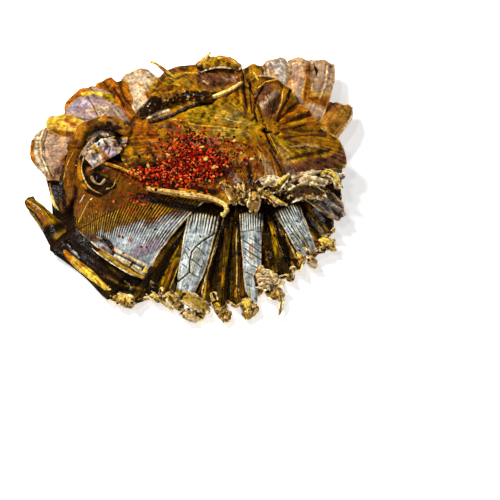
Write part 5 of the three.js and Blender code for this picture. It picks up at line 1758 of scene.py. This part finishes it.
# %% One chip
random_chips = np.random.default_rng(2024)


def chip_shape():
    """The points and faces of a ball 1 across, before it is pressed flat."""
    bpy.ops.object.select_all(action="DESELECT")
    bpy.ops.mesh.primitive_ico_sphere_add(subdivisions=1, radius=0.5)
    chip = bpy.context.active_object
    points = read(chip.data.vertices, "co", 3)
    faces = [tuple(f.vertices) for f in chip.data.polygons]
    bpy.data.objects.remove(chip, do_unlink=True)
    return points, faces


chip_points, chip_faces = chip_shape()
print("a chip has", len(chip_points), "points")

# %% Scatter many of them
STRAY = 0.08  # of its size, how far a chip's corners stray
CHIP_TURN = 0.6  # radians: a chip's faces are shaded flat where they turn more


def scatter(name, places, sizes, material, tilt, pile, flatness):
    """One mesh of many chips at pixels of the photograph, each with its own size, turn and tone."""
    points, faces, tones = [], [], []
    for (px, py, deep), size in zip(places, sizes):
        place, normal = hit_skin(px, py)
        if place is None:
            continue
        stray = random_chips.normal(0, STRAY, chip_points.shape)
        pressed = np.array([1.0, random_chips.uniform(0.5, 0.95), flatness])
        shape = (chip_points + stray) * pressed * size * MM
        lean = (normal * 0.5 + Vector((0, 0, 1))).normalized()
        turn = lean.to_track_quat("Z", "Y").to_matrix()
        spin = Matrix.Rotation(random_chips.uniform(0, 6.28), 3, "Z")
        rock = Matrix.Rotation(random_chips.normal(0, tilt), 3, "X")
        matrix = np.array(turn @ spin @ rock)
        lift = (0.25 * size * flatness + pile * deep * random_chips.uniform(0, 1)) * MM
        centre = np.array(place) + np.array([0, 0, lift])
        base = len(points) * len(chip_points)
        points.append(shape @ matrix.T + centre)
        faces += [tuple(base + k for k in face) for face in chip_faces]
        tones += [random_chips.uniform(0, 1)] * len(chip_points)
    mesh = bpy.data.meshes.new(name)
    mesh.from_pydata(np.concatenate(points).tolist(), [], faces)
    piece = bpy.data.objects.new(name, mesh)
    bpy.context.scene.collection.objects.link(piece)
    add_attribute(mesh, "tone", tones)
    write(mesh.vertices, "co", read(mesh.vertices, "co", 3) + MIDDLE * MM)
    print(name, len(points), "bits,", len(faces), "faces")
    return finish_piece(piece, material, turn=CHIP_TURN)

# %% [markdown]
# A chip's tone picks its colour from a ramp, and a fine grit shifts it a little, so that a dark
# chip may lie by a bright one and no chip is all of one colour.

# %% Chilli's materials
CHILLI_GRIT = 0.9  # mm
IOR_CHILLI = 1.5


def chilli_material(name, stops, gloss):
    material, tree, shader = new_material(name)
    place = node(tree, "TexCoord", output="Object")
    grit = node(tree, "TexNoise", {"Vector": place, "Scale": 1 / (CHILLI_GRIT * MM), "Detail": 3.0}, 0)
    tone = node(tree, "Attribute", output="Fac", attribute_name="tone")
    value = node(tree, inputs={0: tone, 1: 0.9, 2: -0.15}, **TIMES_PLUS)
    value = node(tree, inputs={0: grit, 1: 0.4, 2: value}, **TIMES_PLUS)
    ramp = node(tree, "ValToRGB", {0: value})
    for k, (at, code) in enumerate(stops):
        stop = ramp.color_ramp.elements[k] if k < 2 else ramp.color_ramp.elements.new(at)
        stop.position = at
        stop.color = colour(code)
    bump = node(tree, "Bump", {"Height": grit, "Strength": 0.5, "Distance": 0.3 * MM}, 0)
    tree.links.new(ramp.outputs[0], shader.inputs["Base Color"])
    tree.links.new(bump, shader.inputs["Normal"])
    shader.inputs["Roughness"].default_value = gloss
    shader.inputs["IOR"].default_value = IOR_CHILLI
    return material


FLAKE_COLOURS = [(0.0, "#0c0201"), (1.0, "#ffb850"), (0.36, "#3e0502"), (0.62, "#ac1204"), (0.86, "#fa5010")]
SEED_COLOURS = [(0.0, "#c9953a"), (1.0, "#f5e08c"), (0.5, "#e6c45e")]
chilli_skin = chilli_material("crushed_chilli", FLAKE_COLOURS, 0.25)
chilli_seed = chilli_material("chilli_seed", SEED_COLOURS, 0.4)
print("chilli:", chilli_skin.name, "and", chilli_seed.name)

# %% Where the chilli lies
HEAP = [  # centre px, centre py, reach px, reach py, chips
    (192, 156, 34, 26, 760), (198, 172, 34, 18, 560), (168, 176, 30, 13, 460), (222, 158, 26, 20, 160),
    (190, 160, 70, 38, 420), (148, 173, 22, 16, 200), (182, 140, 30, 16, 120),
]
SPRINKLED = [
    (140, 200, 24, 16, 46), (236, 150, 24, 26, 40), (130, 190, 20, 30, 20), (160, 222, 34, 10, 14),
    (270, 230, 60, 60, 26), (110, 245, 30, 12, 16), (200, 110, 60, 30, 12), (230, 260, 30, 40, 8),
]
LONE_CHIPS = [
    (120, 236), (131, 240), (142, 247), (147, 247), (163, 223), (62, 124), (237, 75), (144, 205), (151, 213),
    (138, 183), (236, 180), (232, 178), (150, 219), (258, 281), (315, 218), (317, 244),
]
SEED_PLACES = [(148, 166), (168, 157), (202, 150), (234, 141), (214, 170), (150, 190), (206, 160), (252, 162)]


FLAKE_SIZE, FLAKE_SPREAD, LONE_SIZE = 1.0, 1.9, 2.3  # mm
SEED_SIZE = 3.8  # mm
SEED_DEEP = 1.6  # how high the seeds are piled, where a heap's middle is 1


def round_about(centre_px, centre_py, reach_px, reach_py, count, deep):
    """Pixels drawn about a centre, fewer further out."""
    spots = random_chips.normal(0, 0.45, (count, 2))
    far = np.hypot(spots[:, 0], spots[:, 1])
    return [
        (centre_px + reach_px * a, centre_py + reach_py * b, deep * max(0.0, 1 - f))
        for (a, b), f in zip(spots, far)
    ]


heap = [place for about in HEAP for place in round_about(*about, deep=1.0)]
heap += [place for about in SPRINKLED for place in round_about(*about, deep=0.0)]
heap += [(px, py, 0.0) for px, py in LONE_CHIPS]
sizes = FLAKE_SIZE + FLAKE_SPREAD * random_chips.uniform(0, 1, len(heap)) ** 1.8
sizes[-len(LONE_CHIPS):] = LONE_SIZE
scatter("chilli_flakes", heap, sizes, chilli_skin, tilt=0.5, pile=2.2, flatness=0.32)
seeds = [(px, py, SEED_DEEP) for px, py in SEED_PLACES]

# %% [markdown]
# Torn edges leave crumbs of dry skin and cartilage. They are scattered in the same way, along
# paths, and lie between the hooks of the torn row as they do along the rim. Fine crumbs spread
# wide over the skin stand partly for painted glints.

# %% Crumbs of torn skin
CRUMBS = [  # path in pixels, how far the crumbs stray from it, and how many there are
    ([(222, 186), (240, 192), (256, 200), (272, 190), (290, 196), (320, 196), (340, 186)], 4.5, 190),
    ([(114, 297), (130, 303), (166, 298), (182, 306), (200, 312), (222, 314), (248, 312), (262, 290)],
     3.5, 170),
    ([(262, 290), (280, 296), (300, 260), (318, 256), (332, 246)], 4, 80),
    ([(144, 106), (170, 98), (196, 94)], 5, 30),
    ([(84, 158), (96, 150), (112, 140), (122, 150)], 8, 30),
    # These last two spread fine pale crumbs over the skin, which stand partly for painted glints.
    ([(70, 170), (110, 210), (200, 230), (300, 240)], 40, 90),
    ([(120, 100), (220, 90), (320, 120)], 30, 70),
]


def along_path(path, stray, count):
    """Pixels drawn at random along a path."""
    spots = bend([[*point, 0.0] for point in path], random_chips.uniform(0, 1, count))[:, :2]
    spots = spots + random_chips.normal(0, stray / 2, spots.shape)
    return [(px, py, 0.3) for px, py in spots]


crumbs = [place for path, stray, count in CRUMBS for place in along_path(path, stray, count)]
crumb_sizes = [
    random_chips.uniform(1.1, 3.2) if stray < 10 else random_chips.uniform(0.6, 1.1)
    for path, stray, count in CRUMBS for _ in range(count)
]
CRUMB_COLOURS = [(0.0, "#1d0e05"), (1.0, "#f8ecba"), (0.35, "#7a4810"), (0.65, "#c2943a")]
torn_bits = chilli_material("torn_bits", CRUMB_COLOURS, 0.4)
scatter("torn_crumbs", crumbs, crumb_sizes, torn_bits, tilt=0.7, pile=1.5, flatness=0.5)
scatter("chilli_seeds", seeds, [SEED_SIZE] * len(seeds), chilli_seed, tilt=0.3, pile=2.6, flatness=0.35)

# %% [markdown]
# ## Floor, light and camera
# The ray lies on plain white, lit softly from above and behind to the left, so that the gloss
# runs along the folds and their fronts fall dark. A long lens looks down at sixty degrees.

# %% The floor
FLOOR_WIDE = 6  # m
FLOOR_BELOW = 0.0002  # m, so that it doesn't meet the ray's flat belly
bpy.ops.object.select_all(action="DESELECT")
bpy.ops.mesh.primitive_plane_add(size=FLOOR_WIDE, location=(0, 0, -FLOOR_BELOW))
floor = bpy.context.active_object
floor.name = "floor"
white, _, floor_shader = new_material("white_table")
floor_shader.inputs["Base Color"].default_value = colour("#f6f6f6")
floor_shader.inputs["Roughness"].default_value = 0.8
floor_shader.inputs["Emission Color"].default_value = colour("#ffffff")
floor_shader.inputs["Emission Strength"].default_value = 0.6
floor.data.materials.append(white)
floor.visible_glossy = False
print("floor:", FLOOR_WIDE, "m wide")

# %% Lights


def softbox(name, place, width, watts):
    """A square lamp in metres that faces the ray."""
    bpy.ops.object.light_add(type="AREA", location=place)
    lamp = bpy.context.active_object
    lamp.name = name
    lamp.data.size = width
    lamp.data.energy = watts
    lamp.rotation_euler = (-Vector(place)).to_track_quat("-Z", "Y").to_euler()
    return lamp


key = softbox("key", (-0.65, 0.5, 1.05), 0.3, 22)
fill = softbox("fill", (0.4, -1.3, 0.9), 0.5, 3)
softbox("glint", (-0.3, -0.22, 1.3), 0.12, 2.3)
# The gloss comes from the small glint alone, so that no pale veil lies on the skin.
key.visible_glossy = False
fill.visible_glossy = False
world = bpy.data.worlds.new("studio")
bpy.context.scene.world = world
world.use_nodes = True
backdrop = world.node_tree.nodes["Background"]
backdrop.inputs["Color"].default_value = (1, 1, 1, 1)
backdrop.inputs["Strength"].default_value = 0.05

# %% The photograph's camera
LENS, SENSOR = 240, 36  # mm
half_frame = FRAME_PIXELS / 2
seen_middle = from_photo(half_frame, half_frame, 0.0)
aim = Vector(((np.array(seen_middle) - MIDDLE) * MM).tolist())
distance = FRAME_PIXELS * PIXEL * MM * LENS / SENSOR
bpy.ops.object.camera_add(location=aim - SIGHT * distance)
camera = bpy.context.active_object
camera.data.lens = LENS
camera.data.sensor_width = SENSOR
camera.rotation_euler = SIGHT.to_track_quat("-Z", "Y").to_euler()
bpy.context.scene.camera = camera
bpy.context.scene.view_settings.view_transform = "Standard"
print("camera", tuple(round(c, 3) for c in camera.location))
